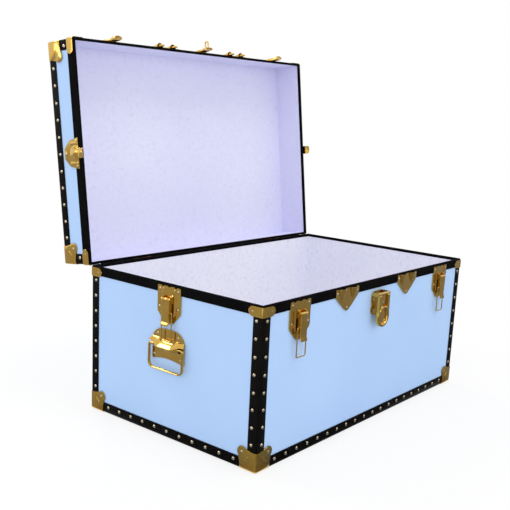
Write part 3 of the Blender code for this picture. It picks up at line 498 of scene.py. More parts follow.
def thicken(bm, thickness, facing, soften=0.0):
    """Turn a sheet's face one way, give it thickness on the other side and ease its outline."""
    bmesh.ops.recalc_face_normals(bm, faces=bm.faces)
    bm.normal_update()
    if sum(face.normal.dot(facing) for face in bm.faces) < 0:
        bmesh.ops.reverse_faces(bm, faces=bm.faces)
    outline = open_edges(bm)
    bmesh.ops.solidify(bm, geom=bm.faces[:], thickness=thickness)
    if soften:
        round_edges(bm, outline, soften)


print("edge helpers ready")

# %% Helpers that extrude and turn


def extruded(bm, faces):
    """Extrude faces, and give the points and the faces of the new end."""
    grown = bmesh.ops.extrude_face_region(bm, geom=faces)["geom"]
    points = [item for item in grown if isinstance(item, bmesh.types.BMVert)]
    ends = [item for item in grown if isinstance(item, bmesh.types.BMFace)]
    return points, ends


def add_prism(bm, outline, run):
    """Extrude a closed outline along a run, and give the points of both ends."""
    corners = [bm.verts.new(point) for point in outline]
    moved, _ = extruded(bm, [bm.faces.new(corners)])
    bmesh.ops.translate(bm, vec=run, verts=moved)
    return corners + moved


def add_bar(bm, profile, left, right, soften=0.0):
    """Add a bar with a profile (proud, up) that lies along the wall."""
    outline = [(left, -proud, up) for proud, up in profile]
    points = set(add_prism(bm, outline, (right - left, 0, 0)))
    if soften:
        edges = [edge for edge in bm.edges if edge.verts[0] in points and edge.calc_face_angle(0.0) > CREASE]
        round_edges(bm, edges, soften)


def turned(profile, steps):
    """Spin a profile (radius, proud) about the wall's normal."""
    bm = bmesh.new()
    points = [bm.verts.new((radius, -proud, 0.0)) for radius, proud in profile]
    lines = [bm.edges.new(pair) for pair in zip(points, points[1:])]
    bmesh.ops.spin(
        bm, geom=points + lines, cent=(0, 0, 0), axis=(0, 1, 0), angle=2 * pi, steps=steps, use_merge=True
    )
    weld(bm)
    bmesh.ops.recalc_face_normals(bm, faces=bm.faces)
    return bm


print("extruding helpers ready")

# %% Helpers that join meshes and hand them over


def add_copy(bm, other, place=Matrix()):
    """Join a copy of another bmesh to a bmesh, carried to a place."""
    mesh = bpy.data.meshes.new("copy")
    other.to_mesh(mesh)
    mesh.transform(place)
    bm.from_mesh(mesh)
    bpy.data.meshes.remove(mesh)


def join(bm, other, place=Matrix()):
    """Join another bmesh to a bmesh, carried to a place, and let go of it."""
    add_copy(bm, other, place)
    other.free()


def finish_piece(name, bm, place, body, slot, material, *solids):
    """Carry a drawing to its place and hand it over as a piece that stands for its solids."""
    bmesh.ops.transform(bm, matrix=place, verts=bm.verts)
    bmesh.ops.recalc_face_normals(bm, faces=bm.faces)
    mesh = bpy.data.meshes.new(name)
    bm.to_mesh(mesh)
    bm.free()
    mesh.materials.append(material)
    mesh.shade_smooth()
    mesh.set_sharp_from_angle(angle=CREASE)
    piece = bpy.data.objects.new(name, mesh)
    scene.collection.objects.link(piece)
    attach(piece, body)
    if solids:
        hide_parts(*solids)
    return piece


print("joining helpers ready")

# %% [markdown]
# ## Black edging
# Strips of black vulcanised fibre are bent to an angle and nailed along the bottom edges, the lid's top
# edges and the corners. A beveled cube frame could stand for them, but each strip is a separate length of
# the same angle, so one L-shaped profile with a rounded bend is extruded eight times for each box. The
# strips stop under the corner caps, where the real ones are cut off too.

# %% Mix the black fibre
EDGING_TONES = ((0.0022, 0.0016, 0.0012), (0.0045, 0.0038, 0.0034))


def black_fibre():
    material, tree, shader = new_material("black_fibre")
    drift = spread(tree, grain(tree, scale=40.0, detail=5.0))
    tree.links.new(two_tone(tree, drift, *EDGING_TONES), shader.inputs["Base Color"])
    tooth = grain(tree, scale=700.0, detail=4.0)
    tree.links.new(spread(tree, tooth, low=0.34, high=0.50), shader.inputs["Roughness"])
    shader.inputs["Specular IOR Level"].default_value = 0.07
    emboss(tree, shader, tooth, strength=0.2, depth=0.0004)
    return material


FIBRE = black_fibre()
print("fibre mixed")

# %% Bend the edging
EDGING_WIDTH = 0.0264
EDGING_THICKNESS = 0.0012
EDGING_CUT = 0.030
BEND_RADIUS = 0.004
BEND_STEPS = 6
EDGE_EASE = 0.0004
TRIM_GAP = 0.0003
BASE_BAND = RIM_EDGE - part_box("base_rim")[0].z
LID_BAND = measure("lid_rim", LID)[1].z - LID_EDGE
BOXES = {
    "base": (BASE_BOX, BASE_HEIGHT, BASE_BAND),
    "lid": (LID_BOX, LID_HEIGHT, LID_BAND),
}
UPRIGHT = Matrix(((0, 1, 0, 0), (0, 0, 1, 0), (1, 0, 0, 0), (0, 0, 0, 1)))


def edging_profile():
    """Section of the angle: its corner at the origin, its legs along the two positive axes."""
    outer = arc((BEND_RADIUS, BEND_RADIUS), BEND_RADIUS, 270, 180, BEND_STEPS)
    inner = arc((BEND_RADIUS, BEND_RADIUS), BEND_RADIUS - EDGING_THICKNESS, 180, 270, BEND_STEPS)
    free_ends = [(0, EDGING_WIDTH), (EDGING_THICKNESS, EDGING_WIDTH)]
    return [(EDGING_WIDTH, 0), *outer, *free_ends, *inner, (EDGING_WIDTH, EDGING_THICKNESS)]


def add_strip(bm, place, length):
    """One straight length of edging that runs along its own X axis."""
    outline = [place @ Vector((0, *point)) for point in edging_profile()]
    add_prism(bm, outline, place.to_3x3() @ Vector((length, 0, 0)))


def plan_side(quarter):
    """Half length of a side of the plan, counted round from the front, and its distance from the middle."""
    return (HALF_LENGTH, HALF_DEPTH) if quarter % 2 == 0 else (HALF_DEPTH, HALF_LENGTH)


def edging(height, band):
    """Four strips round the closed face and four up the corners."""
    bm = bmesh.new()
    top = height - band - TRIM_GAP
    for quarter in range(4):
        half, reach = plan_side(quarter)
        corner = Matrix.Rotation(quarter * pi / 2, 4, "Z") @ Matrix.Translation((-half, -reach, 0))
        add_strip(bm, corner @ Matrix.Translation((EDGING_CUT, 0, 0)), 2 * (half - EDGING_CUT))
        add_strip(bm, corner @ Matrix.Translation((0, 0, EDGING_CUT)) @ UPRIGHT, top - EDGING_CUT)
    bmesh.ops.recalc_face_normals(bm, faces=bm.faces)
    round_corners(bm, EDGE_EASE)
    return bm


for box_name, (box_place, box_height, box_band) in BOXES.items():
    node = f"{box_name}_edging"
    strips = edging(box_height, box_band)
    finish_piece(f"{node}_strips", strips, box_place, box_name, "black_edging", FIBRE, node)
print("edging on", list(BOXES))

# %% [markdown]
# ## Rims
# A folded steel channel, painted black, caps the cut edges of the board. It is the same section all round
# with mitred corners. An extruded bar for each side would need its mitres cut. Here one grid runs round the
# plan one way and round the section the other way, and both ways close on themselves, like the skin of a
# picture frame.

# %% Mix the black paint
PAINT_TONES = ((0.0022, 0.0020, 0.0022), (0.0045, 0.0040, 0.0050))


def black_paint():
    material, tree, shader = new_material("black_paint")
    drift = spread(tree, grain(tree, scale=25.0, detail=6.0))
    tree.links.new(two_tone(tree, drift, *PAINT_TONES), shader.inputs["Base Color"])
    rubs = grain(tree, scale=90.0, detail=6.0, stretch=(0.2, 1.0, 1.0))
    tree.links.new(spread(tree, rubs, low=0.55, high=0.75), shader.inputs["Roughness"])
    shader.inputs["Specular IOR Level"].default_value = 0.03
    emboss(tree, shader, grain(tree, scale=500.0, detail=3.0), strength=0.1, depth=0.0003)
    return material


PAINT = black_paint()
print("paint mixed")

# %% Fold the rims
RIM_WIDTH = 0.0060
RIM_THICKNESS = 0.0010
RIM_ROUND = 0.0012
RIM_LIP = 0.0080
RIM_STEPS = 3
SHARPEST = 0.0003
PLAN_CORNERS = ((-1, -1), (1, -1), (1, 1), (-1, 1))


def plan_points(inset):
    """Points round the trunk's plan, its corners rounded."""
    radius = max(BEND_RADIUS - inset, SHARPEST)
    points = []
    for quarter, (sx, sy) in enumerate(PLAN_CORNERS):
        centre = (sx * (HALF_LENGTH - inset - radius), sy * (HALF_DEPTH - inset - radius))
        start = 180 + 90 * quarter
        points += arc(centre, radius, start, start + 90, BEND_STEPS)
    return points


def rim_section(band):
    """Section of the channel as (inset, up), with up measured from its edge."""
    outer = arc((RIM_ROUND, -RIM_ROUND), RIM_ROUND, 180, 90, RIM_STEPS)
    inner = arc((RIM_WIDTH - RIM_ROUND, -RIM_ROUND), RIM_ROUND, 90, 0, RIM_STEPS)
    back = RIM_WIDTH - RIM_THICKNESS
    lip = [(RIM_WIDTH, -RIM_LIP), (back, -RIM_LIP), (back, -RIM_THICKNESS)]
    flange = [(RIM_THICKNESS, -RIM_THICKNESS), (RIM_THICKNESS, -band)]
    return [(0, -band), *outer, *inner, *lip, *flange]


def rim(height, band):
    """A grid that closes on itself round the plan and round the section."""
    rings = [[(*point, height + up) for point in plan_points(inset)] for inset, up in rim_section(band)]
    around = len(rings[0])

    def spot(across, up):
        return rings[round(up * len(rings)) % len(rings)][round(across * around) % around]

    bm = laid_grid(around, len(rings), spot)
    weld(bm)
    return bm


for box_name, (box_place, box_height, box_band) in BOXES.items():
    node = f"{box_name}_rim"
    channel = rim(box_height, box_band)
    finish_piece(f"{node}_channel", channel, box_place, box_name, "black_rim", PAINT, node)
print("rim bands", round(BASE_BAND, 4), round(LID_BAND, 4))

# %% [markdown]
# ## Brass
# The fittings are pressed from sheet brass and lacquered. The metal is fully metallic and satin, with a
# deep gold of its own. The lacquer is a clear coat over it, which is glossier and has no colour: it puts
# the white glints on the edges. Ambient occlusion finds the hollows of any mesh, and there the colour is
# turned brown: a painted shade. A broad, faint noise keeps the sheet from looking ground flat. Nail heads
# are a paler copy of the brass, a painted highlight that makes them show as white specks.

# %% Mix the brass
BRASS_TONES = ((0.63, 0.360, 0.032), (0.69, 0.420, 0.060))
# Nail heads are a paler copy of the brass: a painted highlight, so that they show as white specks.
NAIL_HIGHLIGHT_TONES = ((0.62, 0.50, 0.32), (0.74, 0.63, 0.45))
# Brown for the hollows that ambient occlusion finds: painted shade.
HOLLOW_SHADE_TONE = (0.26, 0.14, 0.02)
HOLLOW_SHADE_REACH = 0.003


def brass(name, tones):
    material, tree, shader = new_material(name)
    metal = two_tone(tree, spread(tree, grain(tree, scale=30.0, detail=3.0)), *tones)
    # Ambient occlusion turns the colour brown in hollows: painted shade.
    hollow = shader_node(tree, "ShaderNodeAmbientOcclusion", {"Distance": HOLLOW_SHADE_REACH}, samples=8)
    open_share = spread(tree, hollow.outputs["AO"], start=0.2, stop=0.6)
    tree.links.new(two_tone(tree, open_share, HOLLOW_SHADE_TONE, metal), shader.inputs["Base Color"])
    satin = spread(tree, grain(tree, scale=45.0, detail=3.0), low=0.12, high=0.20)
    tree.links.new(satin, shader.inputs["Roughness"])
    set_inputs(shader, {"Metallic": 1.0, "Coat Weight": 1.0, "Coat Roughness": 0.06})
    emboss(tree, shader, grain(tree, scale=70.0, detail=2.0), strength=0.06, depth=0.0008)
    return material


BRASS = brass("pressed_brass", BRASS_TONES)
# A paler copy of the brass for the nails: a painted highlight.
NAIL_HIGHLIGHT_BRASS = brass("nail_highlight_brass", NAIL_HIGHLIGHT_TONES)
print("brass mixed")

# %% [markdown]
# ## Corner caps
# A cap is drawn from one sheet over a corner where three faces meet. Each face has two arms along the edges
# and an ear on the diagonal. One face's outline is drawn flat and repeated about the corner's diagonal, the
# three folds are rounded with a bevel, and the sheet is given its thickness. A short rib is raised across
# each ear's root, where the press stiffens the sheet. The base's caps stand on the floor, so they have no
# rib underneath.

# %% Press the corner caps
CAP_LEVEL = -0.0015
CAP_THICKNESS = 0.0012
CAP_REACH = 0.046
CAP_WAIST = 0.012
EAR_CENTRE = 0.040
EAR_RADIUS = 0.0135
EAR_SPAN = (-40, 130)
EAR_STEPS = 12
FOLD_RADIUS = BEND_RADIUS - CAP_LEVEL
FOLD_STEPS = 5
RIB_CENTRE = 0.027
RIB_SIZE = (0.0095, 0.0019, 0.0011)
RIBBED_FACES = {"base": 2, "lid": 3}
CORNER_NAMES = {
    "base": ("front_left", "front_right", "back_right", "back_left"),
    "lid": ("back_left", "back_right", "front_right", "front_left"),
}
THIRD_TURN = UPRIGHT.inverted()


def corner_spots(box_name, up):
    """Frame of a fitting at each corner of a box: the corner at the origin, the edges along the axes."""
    spots = {}
    for (sx, sy), corner_name in zip(PLAN_CORNERS, CORNER_NAMES[box_name]):
        corner = Matrix.Translation((sx * HALF_LENGTH, sy * HALF_DEPTH, up))
        spots[corner_name] = BOXES[box_name][0] @ corner @ Matrix.Diagonal((-sx, -sy, 1, 1))
    return spots


def cap_face():
    """Outline of one face of a cap, with the corner first."""
    ear = arc((EAR_CENTRE, EAR_CENTRE), EAR_RADIUS, *EAR_SPAN, EAR_STEPS)
    near = [(CAP_LEVEL, CAP_LEVEL), (CAP_REACH, CAP_LEVEL), (CAP_REACH, CAP_WAIST)]
    far = [(CAP_WAIST, CAP_REACH), (CAP_LEVEL, CAP_REACH)]
    return [*near, *ear, *far]


def corner_cap(ribbed):
    """A cap in its own frame: the corner at the origin and the edges along the three axes."""
    bm = bmesh.new()
    turn = Matrix()
    for _ in range(3):
        bm.faces.new([bm.verts.new(turn @ Vector((*point, CAP_LEVEL))) for point in cap_face()])
        turn = THIRD_TURN @ turn
    weld(bm)
    bmesh.ops.reverse_faces(bm, faces=bm.faces)
    folds = [edge for edge in bm.edges if not edge.is_boundary]
    round_edges(bm, folds, FOLD_RADIUS, FOLD_STEPS)
    outline = open_edges(bm)
    bmesh.ops.solidify(bm, geom=bm.faces[:], thickness=CAP_THICKNESS)
    round_edges(bm, outline, EDGE_EASE)
    rib = Matrix.Translation((RIB_CENTRE, RIB_CENTRE, CAP_LEVEL)) @ Matrix.Rotation(-pi / 4, 4, "Z")
    rib = rib @ Matrix.Diagonal((*RIB_SIZE, 1.0))
    for _ in range(ribbed):
        rib = THIRD_TURN @ rib
        bmesh.ops.create_uvsphere(bm, u_segments=16, v_segments=8, radius=1.0, matrix=rib)
    return bm


cap_places = {box_name: corner_spots(box_name, 0) for box_name in BOXES}
for box_name, places in cap_places.items():
    for corner_name, spot in places.items():
        node = f"{box_name}_corner_cap_{corner_name}"
        cap = corner_cap(RIBBED_FACES[box_name])
        finish_piece(f"{node}_pressed", cap, spot, box_name, "brass", BRASS, node)
print("corner caps", sum(len(places) for places in cap_places.values()))

# %% [markdown]
# ## Rim clips
# Where the rim turns a corner, a round-ended strap is folded over the joint. It is a grid laid along a path
# that runs in from one end, round the fold and out to the other end. The strap's height closes to nothing
# at its round ends, and it swells a little between its long edges, as a pressed strap does. The grid is the
# strap's inner face, and its thickness lies outside.

# %% Fold the rim clips
CLIP_LENGTH = 0.038
CLIP_HEIGHT = 0.0225
CLIP_SETBACK = 0.0035
CLIP_SWELL = 0.0004
CLIP_COLUMNS = 64
CLIP_ROWS = 8
CLIP_INWARD = Vector((1, 1, 0))
FOLD_MIDDLE = radians(225)


def folded_path(distance):
    """Point and outward direction of a strap at a distance from the middle of its fold."""
    half_bend = FOLD_RADIUS * pi / 4
    centre = Vector((BEND_RADIUS, BEND_RADIUS, 0))
    bent = max(-half_bend, min(half_bend, distance))
    turn = FOLD_MIDDLE + bent / FOLD_RADIUS
    outward = Vector((cos(turn), sin(turn), 0))
    onward = Vector((-sin(turn), cos(turn), 0))
    return centre + outward * FOLD_RADIUS + onward * (distance - bent), outward


def clip_spot(across, up):
    bend_saving = 2 * FOLD_RADIUS - FOLD_RADIUS * pi / 2
    reach = CLIP_LENGTH - CAP_LEVEL - bend_saving / 2
    side = sin((across - 0.5) * pi)
    into = max(0.0, abs(side) * reach - (reach - CLIP_HEIGHT / 2))
    half_height = sqrt(max(0.0, (CLIP_HEIGHT / 2) ** 2 - into ** 2))
    place, outward = folded_path(side * reach)
    drop = CLIP_SWELL * (2 * up - 1) ** 2
    return place - outward * drop + Vector((0, 0, (2 * up - 1) * half_height))


def rim_clip():
    """A clip in its own frame: the corner at the origin and the strap's middle at height 0."""
    bm = laid_grid(CLIP_COLUMNS, CLIP_ROWS, clip_spot)
    weld(bm)
    thicken(bm, CAP_THICKNESS, CLIP_INWARD, EDGE_EASE)
    return bm


clip_places = {}
for box_name, (_, box_height, _) in BOXES.items():
    clip_places[box_name] = corner_spots(box_name, box_height - CLIP_SETBACK - CLIP_HEIGHT / 2)
    for corner_name, spot in clip_places[box_name].items():
        node = f"{box_name}_rim_clip_{corner_name}"
        finish_piece(f"{node}_folded", rim_clip(), spot, box_name, "brass", BRASS, node)
print("rim clips", sum(len(places) for places in clip_places.values()))

# %% [markdown]
# ## Nails
# Dome-headed nails hold the edging and the fittings. There are a few hundred, so each head is only a short
# profile spun in ten steps. Copies are gathered in one mesh for each group: separate objects would be slow
# to handle and none of them moves alone. A seeded random draw shifts each nail a little, because they are
# driven by hand.

# %% Make a nail
NAIL_RADIUS = 0.0041
NAIL_HEIGHT = 0.0023
NAIL_DOME = ((0.0, 1.0), (0.55, 0.82), (0.9, 0.38), (1.0, 0.0))
NAIL_STEPS = 10
NAIL_SHIFT = 0.0007
NAIL_SEED = 7
hand = random.Random(NAIL_SEED)


def nail_head():
    """A domed head that stands out along -Y."""
    return turned([(NAIL_RADIUS * out, NAIL_HEIGHT * up) for out, up in NAIL_DOME], NAIL_STEPS)


def nail_spot(place, along, up, proud):
    """Where a nail is driven in a wall's frame, a little off the mark."""
    shift = Vector((hand.uniform(-1, 1), 0, hand.uniform(-1, 1))) * NAIL_SHIFT
    spin = Matrix.Rotation(hand.uniform(0, pi), 4, "Y")
    return place @ Matrix.Translation(Vector((along, -proud, up)) + shift) @ spin


def drive_nails(name, body, spots, size=1.0):
    """Join a nail of a size for each spot into one piece."""
    head = nail_head()
    bm = bmesh.new()
    for spot in spots:
        add_copy(bm, head, spot @ Matrix.Scale(size, 4))
    head.free()
    # Every nail takes the paler brass, a painted highlight.
    return finish_piece(name, bm, Matrix(), body, "brass", NAIL_HIGHLIGHT_BRASS)


print("nail steps", NAIL_STEPS)

# %% Nail the edging
NAIL_PITCH = 0.0415
NAIL_LINE = 0.0155
UPRIGHT_LINE = 0.0165
ROW_START = 0.066
UPRIGHT_START = 0.062
UPRIGHT_STOP = 0.012


def even_row(start, stop):
    """Places from start to stop, as near to the nails' pitch as they go evenly."""
    count = max(1, round((stop - start) / NAIL_PITCH))
    return [start + (stop - start) * step / count for step in range(count + 1)]


def nail_row(place, half, up):
    """A row of nails along a side of the box."""
    return [nail_spot(place, along, up, 0) for along in even_row(ROW_START - half, half - ROW_START)]


def edging_nails(body, height, band, way):
    """Rows along the edging's edges and up its corners, on all four walls."""
    spots = []
    for side in WALL_TURNS:
        half = HALF_LENGTH if side in LONG_WALLS else HALF_DEPTH
        here = wall(body, side)
        spots += nail_row(here, half, way * (height - NAIL_LINE))
        for up in even_row(UPRIGHT_START, height - band - UPRIGHT_STOP):
            for end in (-1, 1):
                spots.append(nail_spot(here, end * (half - UPRIGHT_LINE), way * (height - up), 0))
    return spots


def lid_top_nails():
    """Rows on the edging that laps over the lid's top."""
    spots = []
    for quarter in range(4):
        half, reach = plan_side(quarter)
        side = Matrix.Rotation(quarter * pi / 2, 4, "Z") @ Matrix.Translation((0, NAIL_LINE - reach, 0))
        spots += nail_row(LID_BOX @ side @ Matrix.Rotation(pi / 2, 4, "X"), half, 0)
    return spots


base_row = edging_nails("base", BASE_HEIGHT, BASE_BAND, -1)
lid_row = edging_nails("lid", LID_HEIGHT, LID_BAND, 1) + lid_top_nails()
drive_nails("base_edging_nails", "base", base_row)
drive_nails("lid_edging_nails", "lid", lid_row)
print("edging nails", len(base_row), len(lid_row))

# %% [markdown]
# ## Plates
# The fittings begin as plates nailed flat to a wall. A plate is a grid that fills the space between a lower
# and an upper curve, with its columns gathered towards the sides so that corners come out round. A relief
# formula presses it outwards, and its back is then laid on the rim, or on the board where the plate reaches
# past the rim.

# %% Helpers that shape a plate
PLATE_FRONT = 0.0018
PLATE_EASE = 0.0005
DISH_REACH = 0.0075
DISH_RISE = 0.0005


def drawn_in(along, half_width, radius):
    """How far an outline with round corners draws in at a place along its width."""
    into = max(0.0, abs(along) - (half_width - radius))
    return radius - sqrt(max(0.0, radius ** 2 - into ** 2))


def level_edge(level, half_width, corner, way):
    """Formula of an edge at one level, whose round corners bend up (1) or down (-1)."""

    def edge(along):
        return level + way * drawn_in(along, half_width, corner)

    return edge


def always(value):
    """Formula that gives the same value everywhere."""

    def same(*_):
        return value

    return same


def swell(distance, reach, height):
    """A smooth rise that fades to nothing at its reach."""
    share = min(1.0, distance / reach)
    return height * (1 - share ** 2) ** 2


def ribs(along, up, middles, span, half_width, rise):
    """Relief of straight ribs that run up a plate."""
    beyond = max(min(span) - up, 0.0, up - max(span))
    return sum(swell(hypot(along - middle, beyond), half_width, rise) for middle in middles)


def dishes(along, up, marks):
    """Relief of the shallow swellings that the press leaves round the nails."""
    return sum(swell(hypot(along - x, up - z), DISH_REACH, DISH_RISE) for x, z in marks)


def plate(half_width, low, high, relief, grid):
    """A plate's face between two curves, pressed out by a relief."""

    def spot(across, up):
        along = half_width * sin((across - 0.5) * pi)
        level = low(along) + (high(along) - low(along)) * up
        return Vector((along, -PLATE_FRONT - relief(along, level), level))

    return laid_grid(*grid, spot)


def lay_back(bm, back):
    """Close a plate: its back lies where a formula puts it behind each point of the face."""
    weld(bm)
    outline = open_edges(bm)
    points, _ = extruded(bm, bm.faces[:])
    for point in points:
        point.co.y = back(point.co)
    bmesh.ops.recalc_face_normals(bm, faces=bm.faces)
    round_edges(bm, outline, PLATE_EASE)


print("plate front", PLATE_FRONT)

# %% Helpers that seat, fit and nail a plate
PLATE_BACK = 0.0003
BOARD_SEAT = 0.0012
fitting_nails = {"base": [], "lid": []}


def on_base(point):
    """Back of a plate on the base: on the rim's flange, or on the board below it."""
    return -PLATE_BACK if point.z > -BASE_BAND - TRIM_GAP else BOARD_SEAT


def on_lid(point):
    """Back of a plate on the lid: on the rim's flange, or on the board above it."""
    return -PLATE_BACK if point.z < LID_BAND + TRIM_GAP else BOARD_SEAT


def fit(node, drawing, places, body):
    """Fit a copy of a drawing at each place; the body's name may take the place's key."""
    for key, place in places.items():
        name = f"{node}_{key}" if key else node
        finish_piece(f"{name}_brass", drawing.copy(), place, body.format(key), "brass", BRASS, name)
    drawing.free()


def nail_fitting(body, places, marks):
    """Note the nails that hold a fitting at each of its places."""
    for place in places.values():
        fitting_nails[body] += [nail_spot(place, along, up, PLATE_FRONT) for along, up in marks]


print("plate back", PLATE_BACK, "on the rim and", BOARD_SEAT, "in the board")

# %% [markdown]
# ## Catch plates
# A draw catch is a shield-shaped plate with a channel lever on a pin and a wire bail in the lever. To close
# the trunk the bail is swung up over a hook on the lid and the lever is pressed down. The plate could be a
# flat cut-out, but pressing gives it its glints: its top is notched, and a long ridge stands on each side
# of the lever. Two ears carry the pin.

# %% Place the catches
CATCH_OFFSET = joint("lever_front_right_pivot")["pos_m"][0]
CATCH_SPOTS = {
    "front_left": ("front", -CATCH_OFFSET),
    "front_right": ("front", CATCH_OFFSET),
    "left_end": ("left", 0.0),
    "right_end": ("right", 0.0),
}
CATCHES = {key: wall("base", *spot) for key, spot in CATCH_SPOTS.items()}
HOOKS = {key: wall("lid", *spot) for key, spot in CATCH_SPOTS.items()}
print("front catches at", round(CATCH_OFFSET, 4))

# %% Press the catch plates
CATCH_HALF = 0.0375
CATCH_TOP = -0.006
CATCH_SHOULDER = -0.068
CATCH_TIP = -0.095
CATCH_TIP_HALF = 0.012
CATCH_CORNER = 0.004
CATCH_GRID = (72, 56)
NOTCHES = (-0.021, 0.0, 0.021)
NOTCH_HALF = 0.0042
NOTCH_DEPTH = 0.0024
NOTCH_SLOPE = 0.3
RIDGES = (-0.0185, 0.0185)
RIDGE_SPAN = (-0.014, -0.072)
RIDGE_HALF = 0.0034
RIDGE_RISE = 0.0016
CATCH_NAILS = ((-0.030, -0.015), (0.030, -0.015), (-0.030, -0.057), (0.030, -0.057), (0.0, -0.0895))
LEVER_PROUD = 0.0100
LEVER_UP = -0.036
PIVOT_EAR_SIDES = (0.0119, 0.0134)
PIVOT_EAR_RADIUS = 0.0046
PIVOT_EAR_FOOT = 0.011
PIVOT_EAR_ARC = (-60, 60)
PIN_RIVET = ((0.0, 0.0009), (0.0013, 0.0006), (0.0019, 0.0))


def catch_low(along):
    share = (CATCH_HALF - abs(along)) / (CATCH_HALF - CATCH_TIP_HALF)
    slant = CATCH_SHOULDER + (CATCH_TIP - CATCH_SHOULDER) * min(1.0, share)
    return slant + drawn_in(along, CATCH_HALF, CATCH_CORNER)


def catch_high(along):
    notch = max(ease((NOTCH_HALF - abs(along - middle)) / (NOTCH_SLOPE * NOTCH_HALF)) for middle in NOTCHES)
    return CATCH_TOP - NOTCH_DEPTH * notch - drawn_in(along, CATCH_HALF, CATCH_CORNER)


def catch_relief(along, up):
    """Two long ridges beside the lever, and a shallow dish round each nail."""
    ridges = ribs(along, up, RIDGES, RIDGE_SPAN, RIDGE_HALF, RIDGE_RISE)
    return ridges + dishes(along, up, CATCH_NAILS)


def add_pivot_ears(bm, proud, up, radius, foot, sides):
    """A pair of ears that carry a pin, with the pin's riveted ends."""
    inner, outer = sides
    crown = arc((proud, up), radius, *PIVOT_EAR_ARC, BEND_STEPS)
    profile = [(PLATE_BACK, up - foot), *crown, (PLATE_BACK, up + foot)]
    for side in (-1, 1):
        add_bar(bm, profile, *sorted((side * inner, side * outer)))
        spot = Matrix.Translation((side * outer, -proud, up)) @ Matrix.Rotation(side * pi / 2, 4, "Z")
        join(bm, turned(PIN_RIVET, NAIL_STEPS), spot)


def catch_plate():
    bm = plate(CATCH_HALF, catch_low, catch_high, catch_relief, CATCH_GRID)
    lay_back(bm, on_base)
    add_pivot_ears(bm, LEVER_PROUD, LEVER_UP, PIVOT_EAR_RADIUS, PIVOT_EAR_FOOT, PIVOT_EAR_SIDES)
    return bm


fit("catch_plate", catch_plate(), CATCHES, "base")
nail_fitting("base", CATCHES, CATCH_NAILS)
print("catch plates", len(CATCHES))

# %% [markdown]
# ## Levers
# The lever of a catch is a channel bent from sheet, which turns on the pin with its rolled head and flares
# out in a lip for the thumb. A cube could be hollowed out, but a sheet is what it is: one U-shaped grid,
# whose side walls grow shallow towards the lip, is given thickness, and a barrel makes the head.

# %% Bend the levers
LEVER_HALF = 0.0116
LEVER_FACE = 0.0145
LEVER_FOOT = -0.097
LEVER_LIP = 0.003
LIP_REACH = 0.012
LEVER_DEPTH = 0.0100
LEVER_TOE_DEPTH = 0.0020
LEVER_TAPER = 0.030
LEVER_ROUND = 0.0022
LEVER_SHEET = 0.0012
LEVER_ROLL = 0.0050
LEVER_GRID = (40, 32)
FACE_END = 0.4
BEND_END = 0.6
ROLL_STEPS = 20
OUT_OF_WALL = Vector((0, -1, 0))


def lever_section(across, face, depth):
    """Point of the U: up one wall, round, across the face, round and down the other wall."""
    side = -1 if across < 0.5 else 1
    share = 2 * abs(across - 0.5)
    flat_half = LEVER_HALF - LEVER_ROUND
    if share < FACE_END:
        return side * flat_half * share / FACE_END, face
    if share < BEND_END:
        turn = (share - FACE_END) / (BEND_END - FACE_END) * pi / 2
        return side * (flat_half + LEVER_ROUND * sin(turn)), face - LEVER_ROUND * (1 - cos(turn))
    deep = LEVER_ROUND + max(0.0, depth - LEVER_ROUND) * (share - BEND_END) / (1 - BEND_END)
    return side * LEVER_HALF, face - deep


def lever_spot(across, up):
    level = LEVER_FOOT + (LEVER_UP - LEVER_FOOT) * up
    above_foot = level - LEVER_FOOT
    face = LEVER_FACE + LEVER_LIP * (1 - ease(above_foot / LIP_REACH))
    depth = LEVER_TOE_DEPTH + (LEVER_DEPTH - LEVER_TOE_DEPTH) * ease(above_foot / LEVER_TAPER)
    along, proud = lever_section(across, face, depth)
    return Vector((along, -proud, level))


def add_barrel(bm, proud, up, radius, left, right):
    """Add a round bar that lies along the wall, with eased ends."""
    middle = Matrix.Translation(((left + right) / 2, -proud, up)) @ Matrix.Rotation(pi / 2, 4, "Y")
    barrel = bmesh.new()
    bmesh.ops.create_cone(
        barrel,
        cap_ends=True,
        segments=ROLL_STEPS,
        radius1=radius,
        radius2=radius,
        depth=right - left,
        matrix=middle,
    )
    round_corners(barrel, PLATE_EASE)
    join(bm, barrel)


def catch_lever():
    bm = laid_grid(*LEVER_GRID, lever_spot)
    thicken(bm, LEVER_SHEET, OUT_OF_WALL)
    add_barrel(bm, LEVER_PROUD, LEVER_UP, LEVER_ROLL, -LEVER_HALF, LEVER_HALF)
    return bm


fit("catch_lever", catch_lever(), CATCHES, "lever_{}")
print("levers", len(CATCHES))

# %% [markdown]
# ## Bails
# Bails and rings are round wire. A curve with a bevel would do, but here a wire is a disc that is extruded
# along each straight run and spun round each bend, which keeps its section true. The corners of the route
# and a radius for each bend are all it needs: the start and the centre of a bend follow from them.

# %% Helpers that bend wire
WIRE_SIDES = 12
WIRE_STEPS = 6


def drawn_on(bm, end, travel):
    """Extrude the end of a wire along its travel, and give the new end."""
    points, ends = extruded(bm, [end])
    bmesh.ops.translate(bm, vec=travel, verts=points)
    return ends[0]


def bent_round(bm, end, centre, axis, turn):
    """Spin the end of a wire round a bend, and give the new end."""
    spun = bmesh.ops.spin(bm, geom=[end], cent=centre, axis=axis, angle=turn, steps=WIRE_STEPS)
    bmesh.ops.delete(bm, geom=[end], context="FACES_ONLY")
    return next(item for item in spun["geom_last"] if isinstance(item, bmesh.types.BMFace))


